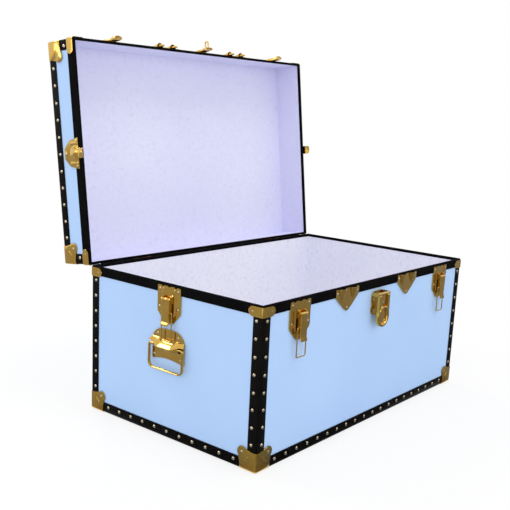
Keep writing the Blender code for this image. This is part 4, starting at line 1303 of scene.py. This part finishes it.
def wire(corners, radius, bends):
    """A round wire along a route, with a bend radius for each inner corner."""
    route = [Vector(corner) for corner in corners]
    here = route[0]
    onward = (route[1] - here).normalized()
    bm = bmesh.new()
    start = Matrix.Translation(here) @ onward.to_track_quat("Z", "Y").to_matrix().to_4x4()
    bmesh.ops.create_circle(bm, cap_ends=True, segments=WIRE_SIDES, radius=radius, matrix=start)
    end = bm.faces[:][0]
    for corner, following, bend in zip(route[1:], route[2:], bends):
        leave = (following - corner).normalized()
        turn = onward.angle(leave)
        cut = bend * tan(turn / 2)
        bend_start = corner - onward * cut
        inward = (leave - onward * leave.dot(onward)).normalized()
        end = drawn_on(bm, end, bend_start - here)
        end = bent_round(bm, end, bend_start + inward * bend, onward.cross(leave), turn)
        here = corner + leave * cut
        onward = leave
    drawn_on(bm, end, route[-1] - here)
    return bm


print("wire sides", WIRE_SIDES)

# %% Bend the bails
BAIL_WIRE = 0.0015
BAIL_PROUD = 0.0085
BAIL_UP = -0.066
BAIL_FOOT = -0.134
BAIL_HALF = 0.0165
BAIL_IN = 0.0098
BAIL_BEND = 0.0036


def catch_bail():
    half = [(BAIL_IN, BAIL_UP), (BAIL_HALF, BAIL_UP), (BAIL_HALF, BAIL_FOOT)]
    route = [(-along, up) for along, up in half] + half[::-1]
    bends = [BAIL_BEND] * (len(route) - 2)
    return wire([(along, -BAIL_PROUD, up) for along, up in route], BAIL_WIRE, bends)


fit("catch_bail", catch_bail(), CATCHES, "bail_{}")
print("bails", len(CATCHES))

# %% [markdown]
# ## Lid hooks
# Above each catch the lid carries a half-hexagon plate with two raised ribs and a crowned tongue. The
# bail's crossbar sits in a groove behind the tongue's lip. The plate is pressed as before, with a round
# step about the tongue. The tongue could be sculpted from a cube. Here it is a grid that runs round its
# side profile and shrinks towards both sides, so that it is crowned.

# %% Helpers that form a tongue
TONGUE_EASE = 0.0018
TONGUE_LEAST = 0.5
TONGUE_COLUMNS = 20
LOOP_STEPS = 3
LONGEST_EASE = 0.45


def eased_loop(corners, reach):
    """A closed outline whose corners are rounded by curves that start a reach away from them."""
    points = []
    for index, corner in enumerate(corners):
        here = Vector(corner)
        before = Vector(corners[index - 1]) - here
        after = Vector(corners[(index + 1) % len(corners)]) - here
        start = here + before * min(LONGEST_EASE, reach / before.length)
        stop = here + after * min(LONGEST_EASE, reach / after.length)
        for step in range(LOOP_STEPS + 1):
            share = step / LOOP_STEPS
            points.append(start * (1 - share) ** 2 + here * 2 * share * (1 - share) + stop * share ** 2)
    return points


def crowned_bar(corners, half_width, fullness):
    """A bar with a side profile (proud, up) that is drawn in towards its sides."""
    profile = eased_loop(corners, TONGUE_EASE)
    root = corners[0][0]

    def spot(across, up):
        turn = (across - 0.5) * pi
        proud, level = profile[round(up * len(profile)) % len(profile)]
        crown = max(TONGUE_LEAST, cos(turn) ** fullness)
        return Vector((half_width * sin(turn), -root - (proud - root) * crown, level))

    bm = laid_grid(TONGUE_COLUMNS, len(profile), spot)
    weld(bm)
    bmesh.ops.holes_fill(bm, edges=open_edges(bm))
    return bm


print("tongue columns", TONGUE_COLUMNS)

# %% Press the hooks
HOOK_HALF = 0.038
HOOK_LOW = 0.011
HOOK_SHOULDER = (0.032, 0.045)
HOOK_TIP = (0.012, 0.066)
HOOK_CORNER = 0.003
HOOK_GRID = (72, 44)
HOOK_NAILS = ((-0.031, 0.0185), (0.031, 0.0185), (0.0, 0.0605))
HOOK_RIBS = (-0.0245, 0.0245)
HOOK_RIB_SPAN = (0.0185, 0.0395)
HOOK_RIB_HALF = 0.0044
HOOK_RIB_RISE = 0.0026
STEP_UP = 0.024
STEP_RADIUS = 0.0195
STEP_SLOPE = 0.0035
STEP_RISE = 0.0014
TONGUE_HALF = 0.0125
TONGUE_FULLNESS = 0.45
TONGUE_CORNERS = (
    (0.0014, 0.042),
    (0.0082, 0.036),
    (0.0102, 0.022),
    (0.0095, 0.0057),
    (0.0064, 0.0036),
    (0.0064, -0.0006),
    (0.0133, -0.0030),
    (0.0133, -0.0150),
    (0.0100, -0.0150),
    (0.0032, -0.0075),
    (0.0032, 0.0110),
    (0.0014, 0.0140),
)


def hook_high(along):
    """Upper edge of half a hexagon: steep outside its shoulders, slanted to its tip inside them."""
    reach = abs(along)
    (shoulder, shoulder_up), (tip, tip_up) = HOOK_SHOULDER, HOOK_TIP
    if reach > shoulder:
        share = (reach - shoulder) / (HOOK_HALF - shoulder)
        return shoulder_up + (HOOK_LOW + HOOK_CORNER - shoulder_up) * share
    share = max(0.0, (reach - tip) / (shoulder - tip))
    return tip_up + (shoulder_up - tip_up) * share


def hook_relief(along, up):
    """Two ribs, a round step about the tongue and a dish round each nail."""
    raised = ribs(along, up, HOOK_RIBS, HOOK_RIB_SPAN, HOOK_RIB_HALF, HOOK_RIB_RISE)
    step = STEP_RISE * ease((STEP_RADIUS - hypot(along, up - STEP_UP)) / STEP_SLOPE)
    return raised + step + dishes(along, up, HOOK_NAILS)


def lid_hook():
    bm = plate(HOOK_HALF, always(HOOK_LOW), hook_high, hook_relief, HOOK_GRID)
    lay_back(bm, on_lid)
    join(bm, crowned_bar(TONGUE_CORNERS, TONGUE_HALF, TONGUE_FULLNESS))
    return bm


fit("lid_hook", lid_hook(), HOOKS, "lid")
nail_fitting("lid", HOOKS, HOOK_NAILS)
print("hooks", len(HOOKS))

# %% [markdown]
# ## Lower locators
# Beside the lock, two pairs of triangular plates keep the closed lid from sliding. Each plate has two half
# cones pressed out of the sheet, with their mouths at the rim's edge. Cones could be joined to a flat
# plate, but the press draws them from the sheet, so here they are part of the plate's relief. A half cone
# is hollow: the plate's back follows its face there.

# %% Place the locators


def middle_along(node):
    """Middle of a solid along the trunk's length."""
    low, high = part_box(node)
    return (low.x + high.x) / 2


LOCATOR_OFFSET = middle_along("base_locator_right")
LOCATOR_SPOTS = {"left": -LOCATOR_OFFSET, "right": LOCATOR_OFFSET}
POCKET_PLACES = {key: wall("base", "front", along) for key, along in LOCATOR_SPOTS.items()}
PRONG_PLACES = {key: wall("lid", "front", along) for key, along in LOCATOR_SPOTS.items()}
print("locators at", round(LOCATOR_OFFSET, 4))

# %% Press the lower locators
LOCATOR_HALF = 0.049
LOCATOR_EDGE = 0.004
LOCATOR_SHOULDER = 0.024
LOCATOR_TIP = 0.060
LOCATOR_TIP_HALF = 0.008
LOCATOR_CORNER = 0.004
LOCATOR_GRID = (120, 56)
LOCATOR_NAILS = ((-0.0405, 0.0145), (0.0405, 0.0145), (0.0, 0.0525))
POCKETS = (-0.024, 0.024)
POCKET_RADIUS = 0.0105
POCKET_TOE = 0.0028
POCKET_DEPTH = 0.029
POCKET_CLOSE = 0.3
POCKET_WALL = 0.0013
LEAST_RELIEF = 0.0003


def locator_far(along):
    """Distance of a locator's slanted edges, which run together in a round tip."""
    reach = hypot(along, LOCATOR_TIP_HALF)
    share = (LOCATOR_HALF - reach) / (LOCATOR_HALF - LOCATOR_TIP_HALF)
    slant = LOCATOR_SHOULDER + (LOCATOR_TIP - LOCATOR_SHOULDER) * share
    return slant - drawn_in(along, LOCATOR_HALF, LOCATOR_CORNER)


def pocket_relief(along, up):
    """Two half cones that close at their toes."""
    depth = (abs(up) - LOCATOR_EDGE) / POCKET_DEPTH
    if depth > 1:
        return 0.0
    closing = sqrt(1 - max(0.0, (depth - 1 + POCKET_CLOSE) / POCKET_CLOSE) ** 2)
    radius = (POCKET_RADIUS + (POCKET_TOE - POCKET_RADIUS) * depth) * closing
    return max(sqrt(max(0.0, radius ** 2 - (along - middle) ** 2)) for middle in POCKETS)


def locator(way, seat):
    """A plate with two half cones, which points up (1) or down (-1) the wall and lies on a seat."""
    near = level_edge(way * LOCATOR_EDGE, LOCATOR_HALF, LOCATOR_CORNER, way)

    def far(along):
        return way * locator_far(along)

    def behind(point):
        hollow = -point.y - PLATE_FRONT > LEAST_RELIEF
        return point.y + POCKET_WALL if hollow else seat(point)

    bm = plate(LOCATOR_HALF, near, far, pocket_relief, LOCATOR_GRID)
    lay_back(bm, behind)
    return bm


def turned_down(marks):
    """Marks of a fitting that points down the wall."""
    return [(along, -up) for along, up in marks]


fit("base_locator", locator(-1, on_base), POCKET_PLACES, "base")
nail_fitting("base", POCKET_PLACES, turned_down(LOCATOR_NAILS))
print("pocket plates", len(POCKET_PLACES))

# %% [markdown]
# ## Upper locators
# The lid's locators are the same plates turned over. Their half cones hold short prongs, which drop into
# the mouths of the lower ones. A prong is solid and round on one side only, so it is a cone cut in half by
# a plane, with its cut closed and its edges eased.

# %% Press the upper locators
PRONG_SEAT = 0.0021
PRONG_ROOT = 0.012
PRONG_ROOT_RADIUS = 0.0081
PRONG_TOE = -0.011
PRONG_TOE_RADIUS = 0.0036
PRONG_EASE = 0.0012
PRONG_SIDES = 32


def prong(along):
    """Half a cone on the plate, flat side to the wall."""
    bm = bmesh.new()
    bmesh.ops.create_cone(
        bm,
        cap_ends=True,
        segments=PRONG_SIDES,
        radius1=PRONG_TOE_RADIUS,
        radius2=PRONG_ROOT_RADIUS,
        depth=PRONG_ROOT - PRONG_TOE,
        matrix=Matrix.Translation((along, -PRONG_SEAT, (PRONG_ROOT + PRONG_TOE) / 2)),
    )
    bmesh.ops.bisect_plane(
        bm,
        geom=bm.verts[:] + bm.edges[:] + bm.faces[:],
        plane_co=(0, -PRONG_SEAT, 0),
        plane_no=(0, 1, 0),
        clear_outer=True,
    )
    bmesh.ops.holes_fill(bm, edges=open_edges(bm))
    round_corners(bm, PRONG_EASE)
    return bm


def lid_locator():
    bm = locator(1, on_lid)
    for along in POCKETS:
        join(bm, prong(along))
    return bm


fit("lid_locator", lid_locator(), PRONG_PLACES, "lid")
nail_fitting("lid", PRONG_PLACES, LOCATOR_NAILS)
print("prong plates", len(PRONG_PLACES))

# %% [markdown]
# ## Lock plate
# In the middle a hasp hangs from a back plate and swings up over a staple on the lid. The plate is nearly
# square, with wide round corners and a slight waist, and two ears near its top carry the hasp's pin. The
# sides of a plate's grid are straight, so the waist is squeezed in once the face is laid out.

# %% Press the lock's plate
LOCK_PLACE = {"": wall("base", "front")}
LOCK_HALF = 0.0292
LOCK_TOP = -0.030
LOCK_FOOT = -0.092
LOCK_CORNER = 0.016
LOCK_GRID = (64, 64)
LOCK_WAIST = 0.10
WAIST_UP = -0.065
WAIST_REACH = 0.010
LOCK_NAILS = ((-0.0225, -0.050), (0.0225, -0.050), (-0.0205, -0.080), (0.0205, -0.080))
HASP_PROUD = 0.0160
HASP_UP = -0.037
HASP_ROLL = 0.0046
HASP_EAR_SIDES = (0.0263, 0.0278)


def dished(marks):
    """Formula of a relief that only has a dish round each nail."""

    def relief(along, up):
        return dishes(along, up, marks)

    return relief


def lock_plate():
    low = level_edge(LOCK_FOOT, LOCK_HALF, LOCK_CORNER, 1)
    high = level_edge(LOCK_TOP, LOCK_HALF, LOCK_CORNER, -1)
    bm = plate(LOCK_HALF, low, high, dished(LOCK_NAILS), LOCK_GRID)
    for vertex in bm.verts:
        vertex.co.x *= 1 - swell(abs(vertex.co.z - WAIST_UP), WAIST_REACH, LOCK_WAIST)
    lay_back(bm, always(BOARD_SEAT))
    add_pivot_ears(bm, HASP_PROUD, HASP_UP, HASP_ROLL, HASP_ROLL, HASP_EAR_SIDES)
    return bm


fit("lock_plate", lock_plate(), LOCK_PLACE, "base")
nail_fitting("base", LOCK_PLACE, LOCK_NAILS)
print("lock plate nails", len(LOCK_NAILS))

# %% [markdown]
# ## Hasp
# The hasp's strap is pressed with a channel between two raised bands, and the channel has a slot for the
# staple. The strap ends in a thick boss with a rolled rim and a dished face. A slot could be cut with a
# boolean, but the strap is a grid whose lines follow the channel and the slot, so leaving faces out is
# enough. The boss is a profile spun about the wall's normal and drawn in a little at the sides, and the
# roll at the top is a plain barrel.

# %% Press the strap
STRAP_HALF = 0.0242
STRAP_BACK = 0.0160
STRAP_FRONT = 0.0183
BAND_FRONT = 0.0230
BAND_ROUND = 0.0014
BAND_SPAN = (-0.0372, -0.0405)
BAND_SHARES = (0.0, 0.08, 0.3, 0.6, 1.0)
CHANNEL_HALF = 0.0142
CHANNEL_LINE = 0.0080
SLOT_HALF = 0.0027
SLOT_SPAN = (-0.0530, -0.0699)
ROWS_ABOVE = 12
ROWS_BELOW = 6
BOSS_UP = -0.094
BOSS_WIDTH = 0.935
BOSS_SEAT = 0.0255


def strap_columns():
    """Grid lines along the strap: the slot, the channel and the bands' round edges, on both sides."""
    band = [BAND_ROUND * share for share in BAND_SHARES]
    rising = [CHANNEL_HALF + step for step in band]
    falling = [STRAP_HALF - step for step in reversed(band)]
    right = [SLOT_HALF, CHANNEL_LINE, CHANNEL_HALF - WELD, *rising, *falling]
    return [-line for line in reversed(right)] + [0.0] + right


def strap_rows():
    """Grid lines across the strap: above the slot, at the slot and below it."""
    top, foot = SLOT_SPAN
    above = [HASP_UP + (top - HASP_UP) * step / ROWS_ABOVE for step in range(ROWS_ABOVE)]
    below = [foot + (BOSS_UP - foot) * step / ROWS_BELOW for step in range(ROWS_BELOW + 1)]
    return above + [top, (top + foot) / 2] + below


def strap_face(along, up):
    """How far the strap's face stands out: two round-edged bands beside the channel."""
    inside = min(abs(along) - CHANNEL_HALF, STRAP_HALF - abs(along)) / BAND_ROUND
    under_boss = hypot(along / BOSS_WIDTH, up - BOSS_UP) < BOSS_SEAT
    if inside <= 0 or under_boss:
        return STRAP_FRONT
    round_off = 1 - sqrt(max(0.0, 1 - (1 - min(1.0, inside)) ** 2))
    rise = ease((BAND_SPAN[0] - up) / (BAND_SPAN[0] - BAND_SPAN[1]))
    return STRAP_FRONT + (BAND_FRONT - STRAP_FRONT - BAND_ROUND * round_off) * rise


def in_slot(face):
    """Whether a face of the strap lies where its slot is."""
    middle = face.calc_center_median()
    return abs(middle.x) < SLOT_HALF and SLOT_SPAN[1] < middle.z < SLOT_SPAN[0]


def hasp_strap():
    columns, rows = strap_columns(), strap_rows()

    def spot(across, up):
        along = columns[round(across * (len(columns) - 1))]
        level = rows[round(up * (len(rows) - 1))]
        return Vector((along, -strap_face(along, level), level))

    bm = laid_grid(len(columns) - 1, len(rows) - 1, spot)
    bmesh.ops.delete(bm, geom=[face for face in bm.faces if in_slot(face)], context="FACES")
    lay_back(bm, always(-STRAP_BACK))
    return bm


print("strap lines", len(strap_columns()), "x", len(strap_rows()))

# %% Turn the boss and join the hasp
HASP_HALF = 0.0250
BOSS_RIM = arc((0.0236, 0.0200), 0.0040, 150, 10, 12)
BOSS_PROFILE = [
    (0.0, 0.0192),
    (0.0130, 0.0189),
    (0.0180, 0.0184),
    (0.0194, 0.0192),
    *BOSS_RIM,
    (0.0280, 0.0190),
    (0.0280, 0.0147),
    (0.0274, 0.0140),
    (0.0, 0.0140),
]
BOSS_STEPS = 64
NOTCH_WIDTH = 0.0034
NOTCH_REACH = 0.0238


def hasp_boss():
    """A dished boss with a small notch in the top of its rim."""
    bm = turned(BOSS_PROFILE, BOSS_STEPS)
    for vertex in bm.verts:
        if abs(vertex.co.x) < NOTCH_WIDTH:
            vertex.co.z = min(vertex.co.z, NOTCH_REACH)
    return bm


def lock_hasp():
    bm = hasp_strap()
    add_barrel(bm, HASP_PROUD, HASP_UP, HASP_ROLL, -HASP_HALF, HASP_HALF)
    join(bm, hasp_boss(), Matrix.Translation((0, 0, BOSS_UP)) @ Matrix.Diagonal((BOSS_WIDTH, 1, 1, 1)))
    return bm


fit("lock_hasp", lock_hasp(), LOCK_PLACE, "hasp")
print("hasp boss radius", max(radius for radius, _ in BOSS_PROFILE))

# %% [markdown]
# ## Staple
# On the lid a ramped tongue leans out over the parting line and carries a tall staple, which a padlock can
# hold once the hasp's slot has gone over it. The tongue is the same kind of grid as a hook's: it runs round
# a side profile and is drawn in at its sides. The staple is wire on a U-shaped route.

# %% Raise the tongue and bend the staple
STAPLE_PLACE = {"": wall("lid", "front")}
STAPLE_HALF = 0.024
STAPLE_SPAN = (0.004, 0.042)
STAPLE_CORNER = 0.009
STAPLE_GRID = (48, 40)
STAPLE_NAILS = ((-0.0185, 0.0105), (0.0185, 0.0105), (-0.0185, 0.0360), (0.0185, 0.0360))
RAMP_HALF = 0.0133
RAMP_FULLNESS = 0.12
RAMP_CORNERS = (
    (0.0014, 0.0415),
    (0.0046, 0.0390),
    (0.0074, -0.0092),
    (0.0112, -0.0124),
    (0.0112, -0.0225),
    (0.0080, -0.0225),
    (0.0080, -0.0156),
    (0.0042, -0.0092),
    (0.0014, 0.0072),
)
STAPLE_DROP = -0.0135
STAPLE_REACH = 0.0298
STAPLE_RADIUS = 0.0055
STAPLE_WIRE = 0.0020
STAPLE_FEET = (0.0060, 0.0096)


def staple_arch():
    """Wire that stands out from the tongue, round at its far end."""
    upper, lower = STAPLE_DROP + STAPLE_RADIUS, STAPLE_DROP - STAPLE_RADIUS
    crown = STAPLE_REACH - STAPLE_WIRE
    route = [(STAPLE_FEET[0], upper), (crown, upper), (crown, lower), (STAPLE_FEET[1], lower)]
    bends = [STAPLE_RADIUS - WELD] * 2
    return wire([(0, -proud, up) for proud, up in route], STAPLE_WIRE, bends)


def lid_staple():
    low = level_edge(STAPLE_SPAN[0], STAPLE_HALF, STAPLE_CORNER, 1)
    high = level_edge(STAPLE_SPAN[1], STAPLE_HALF, STAPLE_CORNER, -1)
    bm = plate(STAPLE_HALF, low, high, always(0.0), STAPLE_GRID)
    lay_back(bm, on_lid)
    join(bm, crowned_bar(RAMP_CORNERS, RAMP_HALF, RAMP_FULLNESS))
    join(bm, staple_arch())
    return bm


fit("lid_staple", lid_staple(), STAPLE_PLACE, "lid")
nail_fitting("lid", STAPLE_PLACE, STAPLE_NAILS)
print("staple reach", STAPLE_REACH)

# %% [markdown]
# ## Handle plates
# Each end has a drop ring, whose top bar turns under a boat-shaped hood on an arched plate. The hood has a
# sloping roof with pointed ends that stand over the ring's shoulders, and a full front. A solid block could
# be carved to this shape. Here roof and front are grids with a sheet's thickness, open at the ends, so that
# the bar really passes through.

# %% Form the hood
HANDLE_HALF = 0.0514
ROOF_HALF = 0.058
ROOF_TIP = 0.0098
ROOF_BELLY = 0.0193
ROOF_REAR = -0.1315
ROOF_DIP = 0.0070
DIP_SPAN = (0.019, 0.028)
ROOF_EAVES = (-0.1418, -0.1505)
ROOF_CURVE = 1.3
BELLY_SPAN = (0.018, 0.050)
ROOF_SEAT = 0.0010
ROOF_SHEET = 0.0009
ROOF_GRID = (64, 10)
FRONT_HALF = 0.0400
FRONT_INSET = 0.0004
FRONT_FOOT = -0.1592
FRONT_SHEET = 0.0007
FRONT_DROOP = 3
FRONT_FULLNESS = 2 / 3
FRONT_GRID = (64, 20)
UP_AND_OUT = Vector((0, -1, 1))


def eave(along):
    """How far the roof's front edge stands out, and its level: fullest at the hood's belly."""
    share = ease((BELLY_SPAN[1] - abs(along)) / (BELLY_SPAN[1] - BELLY_SPAN[0]))
    level = ROOF_EAVES[0] + (ROOF_EAVES[1] - ROOF_EAVES[0]) * share
    return ROOF_TIP + (ROOF_BELLY - ROOF_TIP) * share, level


def roof_spot(across, out):
    along = ROOF_HALF * sin((across - 0.5) * pi)
    beyond = max(0.0, abs(along) - HANDLE_HALF) / (ROOF_HALF - HANDLE_HALF)
    front, front_level = eave(along)
    rear = ROOF_SEAT + (front - ROOF_SEAT) * beyond
    dip = 1 - ease((abs(along) - DIP_SPAN[0]) / (DIP_SPAN[1] - DIP_SPAN[0]))
    rear_level = ROOF_REAR - ROOF_DIP * dip + (front_level - ROOF_REAR) * beyond
    fall = (front_level - rear_level) * out ** ROOF_CURVE
    return Vector((along, -rear - (front - rear) * out, rear_level + fall))


def front_spot(across, down):
    along = FRONT_HALF * (2 * across - 1)
    front, level = eave(along)
    full = (1 - down ** FRONT_DROOP) ** FRONT_FULLNESS
    proud = ROOF_SEAT + (front - FRONT_INSET - ROOF_SEAT) * full
    start = level - ROOF_SHEET / 2
    return Vector((along, -proud, start + (FRONT_FOOT - start) * down))


def hood_sheet(grid, spot, thickness, soften):
    bm = laid_grid(*grid, spot)
    weld(bm)
    thicken(bm, thickness, UP_AND_OUT, soften)
    return bm


print("hood", 2 * ROOF_HALF, "m wide")

# %% Press the handle plates
HANDLE_PLACES = {side: wall("base", side) for side in ("left", "right")}
HANDLE_SHOULDER = -0.130
HANDLE_CROWN = 0.021
HANDLE_FOOT = -0.187
HANDLE_ARCH = 0.007
HANDLE_CORNER = 0.0025
HANDLE_GRID = (72, 56)
HANDLE_NAILS = ((-0.034, -0.1228), (0.034, -0.1228), (-0.0435, -0.1755), (0.0435, -0.1755))
ARCH_POWER = 2.0
CROWN_POWER = 4.0


def bow(along, power):
    """Share of an arch that spans the handle's width; a greater power makes it fuller."""
    return 1 - min(1.0, abs(along) / HANDLE_HALF) ** power


def handle_low(along):
    arch = HANDLE_ARCH * bow(along, ARCH_POWER)
    return HANDLE_FOOT + arch + drawn_in(along, HANDLE_HALF, HANDLE_CORNER)


def handle_high(along):
    crown = HANDLE_CROWN * bow(along, CROWN_POWER)
    return HANDLE_SHOULDER + crown - drawn_in(along, HANDLE_HALF, HANDLE_CORNER)


def handle_plate():
    bm = plate(HANDLE_HALF, handle_low, handle_high, dished(HANDLE_NAILS), HANDLE_GRID)
    lay_back(bm, always(BOARD_SEAT))
    join(bm, hood_sheet(ROOF_GRID, roof_spot, ROOF_SHEET, EDGE_EASE))
    join(bm, hood_sheet(FRONT_GRID, front_spot, FRONT_SHEET, EDGE_EASE / 2))
    return bm


fit("handle_plate", handle_plate(), HANDLE_PLACES, "base")
nail_fitting("base", HANDLE_PLACES, HANDLE_NAILS)
print("handle plates", list(HANDLE_PLACES))

# %% [markdown]
# ## Rings
# The drop ring is a rod bent round until its ends meet in the middle of the bar, under the hood, and it
# hangs flat when it isn't used. It is made as the bails are. Below its shoulders the real ring is forged
# deeper than it is wide, so its points are then pushed out from the ring's plane there.

# %% Bend the rings
RING_PROUD = 0.0090
RING_UP = -0.1485
RING_ROD = 0.0030
RING_FULLNESS = 1.35
RING_SHOULDER = 0.012
RING_HALF = 0.05475
RING_DROP = 0.058
RING_BENDS = (0.005, 0.013, 0.013, 0.005)


def handle_ring():
    """A ring of round rod that is forged deeper below its shoulders."""
    foot = RING_UP - RING_DROP
    corners = [(RING_HALF, RING_UP), (RING_HALF, foot), (-RING_HALF, foot), (-RING_HALF, RING_UP)]
    route = [(0, RING_UP), *corners, (0, RING_UP)]
    bm = wire([(along, 0, up) for along, up in route], RING_ROD, RING_BENDS)
    for vertex in bm.verts:
        forged = ease((RING_UP - RING_ROD - vertex.co.z) / RING_SHOULDER)
        vertex.co.y = vertex.co.y * (1 + (RING_FULLNESS - 1) * forged) - RING_PROUD
    return bm


fit("handle_ring", handle_ring(), HANDLE_PLACES, "ring_{}")
print("rings", len(HANDLE_PLACES))

# %% [markdown]
# ## Hinges
# At the back the lid turns on two hinges. Each leaf is nailed flat, and their knuckles share a pin just
# outside the rims. A tab on the lid's leaf lies against the base's leaf when the lid is open and holds it
# there. One solid could stand for a whole hinge, but then it couldn't turn: the leaves are separate plates,
# the base's with a notch for the other's knuckle, and the knuckles are barrels.

# %% Fit the base's hinge leaves
HINGE_OFFSET = middle_along("hinge_base_leaf_right")
HINGE_SPOTS = {"left": HINGE_OFFSET, "right": -HINGE_OFFSET}
BASE_LEAVES = {key: wall("base", "back", along) for key, along in HINGE_SPOTS.items()}
LID_LEAVES = {key: wall("lid", "back", along) for key, along in HINGE_SPOTS.items()}
LEAF_HALF = 0.032
LEAF_HEIGHT = 0.056
LEAF_EDGE = 0.0005
LEAF_CORNER = 0.006
LEAF_NAILS = ((-0.0225, 0.0165), (0.0225, 0.0165), (-0.0225, 0.046), (0.0225, 0.046), (0.0, 0.036))
BASE_LEAF_GRID = (96, 24)
KNUCKLE_RADIUS = 0.0023
KNUCKLE_HALF = 0.0107
KNUCKLE_GAP = 0.0003
KNUCKLE_ROOM = 0.0010
AXIS_PROUD = HINGE.y - HALF_DEPTH
BASE_AXIS_UP = HINGE.z - RIM_EDGE


def leaf_notch(along):
    """Edge of the base's leaf, with a notch for the lid's knuckle."""
    notch = LEAF_EDGE - BASE_AXIS_UP + KNUCKLE_RADIUS + KNUCKLE_ROOM
    clear = KNUCKLE_HALF + 2 * KNUCKLE_GAP
    return -LEAF_EDGE - notch * (1 - ease((abs(along) - clear) / KNUCKLE_ROOM))


def base_leaf():
    foot = level_edge(-LEAF_HEIGHT, LEAF_HALF, LEAF_CORNER, 1)
    bm = plate(LEAF_HALF, foot, leaf_notch, always(0.0), BASE_LEAF_GRID)
    lay_back(bm, on_base)
    for side in (-1, 1):
        ends = sorted((side * (KNUCKLE_HALF + KNUCKLE_GAP), side * LEAF_HALF))
        add_barrel(bm, AXIS_PROUD, BASE_AXIS_UP, KNUCKLE_RADIUS, *ends)
    return bm


fit("hinge_base_leaf", base_leaf(), BASE_LEAVES, "base")
print("hinges at", round(HINGE_OFFSET, 4))

# %% Fit the lid's hinge leaves
LID_LEAF_GRID = (64, 24)
LID_AXIS_UP = HINGE.z - LID_EDGE
TAB_BACK = 0.0021
TAB_FRONT = 0.0039
TAB_LENGTH = 0.016


def open_tab():
    """Section of the stop tab, swung from where it lies on the open lid to the closed lid's frame."""
    axis = Vector((AXIS_PROUD, LID_AXIS_UP))
    swing = Matrix.Rotation(LID_TURN, 2)
    corners = ((TAB_BACK, 0), (TAB_FRONT, 0), (TAB_FRONT, -TAB_LENGTH), (TAB_BACK, -TAB_LENGTH))
    return [axis + swing @ Vector((proud - AXIS_PROUD, up)) for proud, up in corners]


def lid_leaf():
    far = level_edge(LEAF_HEIGHT, LEAF_HALF, LEAF_CORNER, -1)
    bm = plate(LEAF_HALF, always(LEAF_EDGE), far, always(0.0), LID_LEAF_GRID)
    lay_back(bm, on_lid)
    low, high = LID_AXIS_UP, LEAF_EDGE + KNUCKLE_RADIUS
    neck = ((PLATE_BACK, low), (PLATE_FRONT, low), (PLATE_FRONT, high), (PLATE_BACK, high))
    add_bar(bm, neck, -KNUCKLE_HALF, KNUCKLE_HALF)
    add_barrel(bm, AXIS_PROUD, LID_AXIS_UP, KNUCKLE_RADIUS, -KNUCKLE_HALF, KNUCKLE_HALF)
    add_bar(bm, open_tab(), -KNUCKLE_HALF, KNUCKLE_HALF, EDGE_EASE)
    return bm


fit("hinge_lid_leaf", lid_leaf(), LID_LEAVES, "lid")
nail_fitting("base", BASE_LEAVES, turned_down(LEAF_NAILS))
nail_fitting("lid", LID_LEAVES, LEAF_NAILS)
print("leaves", len(BASE_LEAVES) + len(LID_LEAVES))

# %% [markdown]
# ## Dust strip
# The hinge pin stands off the back wall, so a bare lid would let daylight in under its back edge when it is
# open. A flat strip of black fibre along that edge closes the gap. It is a plain bar in three lengths,
# which stop short of the hinge leaves and the corner clips. A fin on the base would close the gap as well,
# but it would catch things.

# %% Lay the dust strip
STRIP_ROOM = 0.0015
STRIP_PROUD = 0.0017
STRIP_SINK = 0.0002
STRIP_LOW = 0.0008
STRIP_HIGH = 0.0095
STRIP_SECTION = (
    (-STRIP_SINK, STRIP_LOW),
    (STRIP_PROUD, STRIP_LOW),
    (STRIP_PROUD, STRIP_HIGH),
    (-STRIP_SINK, STRIP_HIGH),
)
STRIP_END = HALF_LENGTH - CLIP_LENGTH - STRIP_ROOM
LEAF_ROOM = LEAF_HALF + STRIP_ROOM

dust_strip = bmesh.new()
strip_ends = (-STRIP_END, -HINGE_OFFSET - LEAF_ROOM, LEAF_ROOM - HINGE_OFFSET)
strip_ends += tuple(-end for end in reversed(strip_ends))
for start, stop in zip(strip_ends[::2], strip_ends[1::2]):
    add_bar(dust_strip, STRIP_SECTION, start, stop, EDGE_EASE)
finish_piece("lid_dust_strip", dust_strip, wall("lid", "back"), "lid", "black_edging", FIBRE)
print("dust strip between", [round(end, 3) for end in strip_ends])

# %% [markdown]
# ## The fittings' nails
# The marks that each fitting noted are driven last, in one piece for the base and one for the lid. The
# corner caps and rim clips get theirs here too: one in each ear that shows, and one in each end of a clip.

# %% Drive the fittings' nails
CLIP_NAIL = 0.0268
FITTING_NAIL = 0.8
EAR_FACES = {"base": (1, 2), "lid": (0, 1, 2)}
EAR_TURN = Matrix.Rotation(pi / 2, 4, "X")
CLIP_TURN = Matrix.Rotation(-pi / 2, 4, "Z")

for box_name, spots in fitting_nails.items():
    for place in cap_places[box_name].values():
        for turns in EAR_FACES[box_name]:
            face = place
            for _ in range(turns):
                face = face @ THIRD_TURN
            spots.append(nail_spot(face @ EAR_TURN, EAR_CENTRE, -EAR_CENTRE, -CAP_LEVEL))
    for place in clip_places[box_name].values():
        spots.append(nail_spot(place, CLIP_NAIL, 0, -CAP_LEVEL))
        spots.append(nail_spot(place @ CLIP_TURN, -CLIP_NAIL, 0, -CAP_LEVEL))
    drive_nails(f"{box_name}_fitting_nails", box_name, spots, FITTING_NAIL)
    print(box_name, "fitting nails", len(spots))
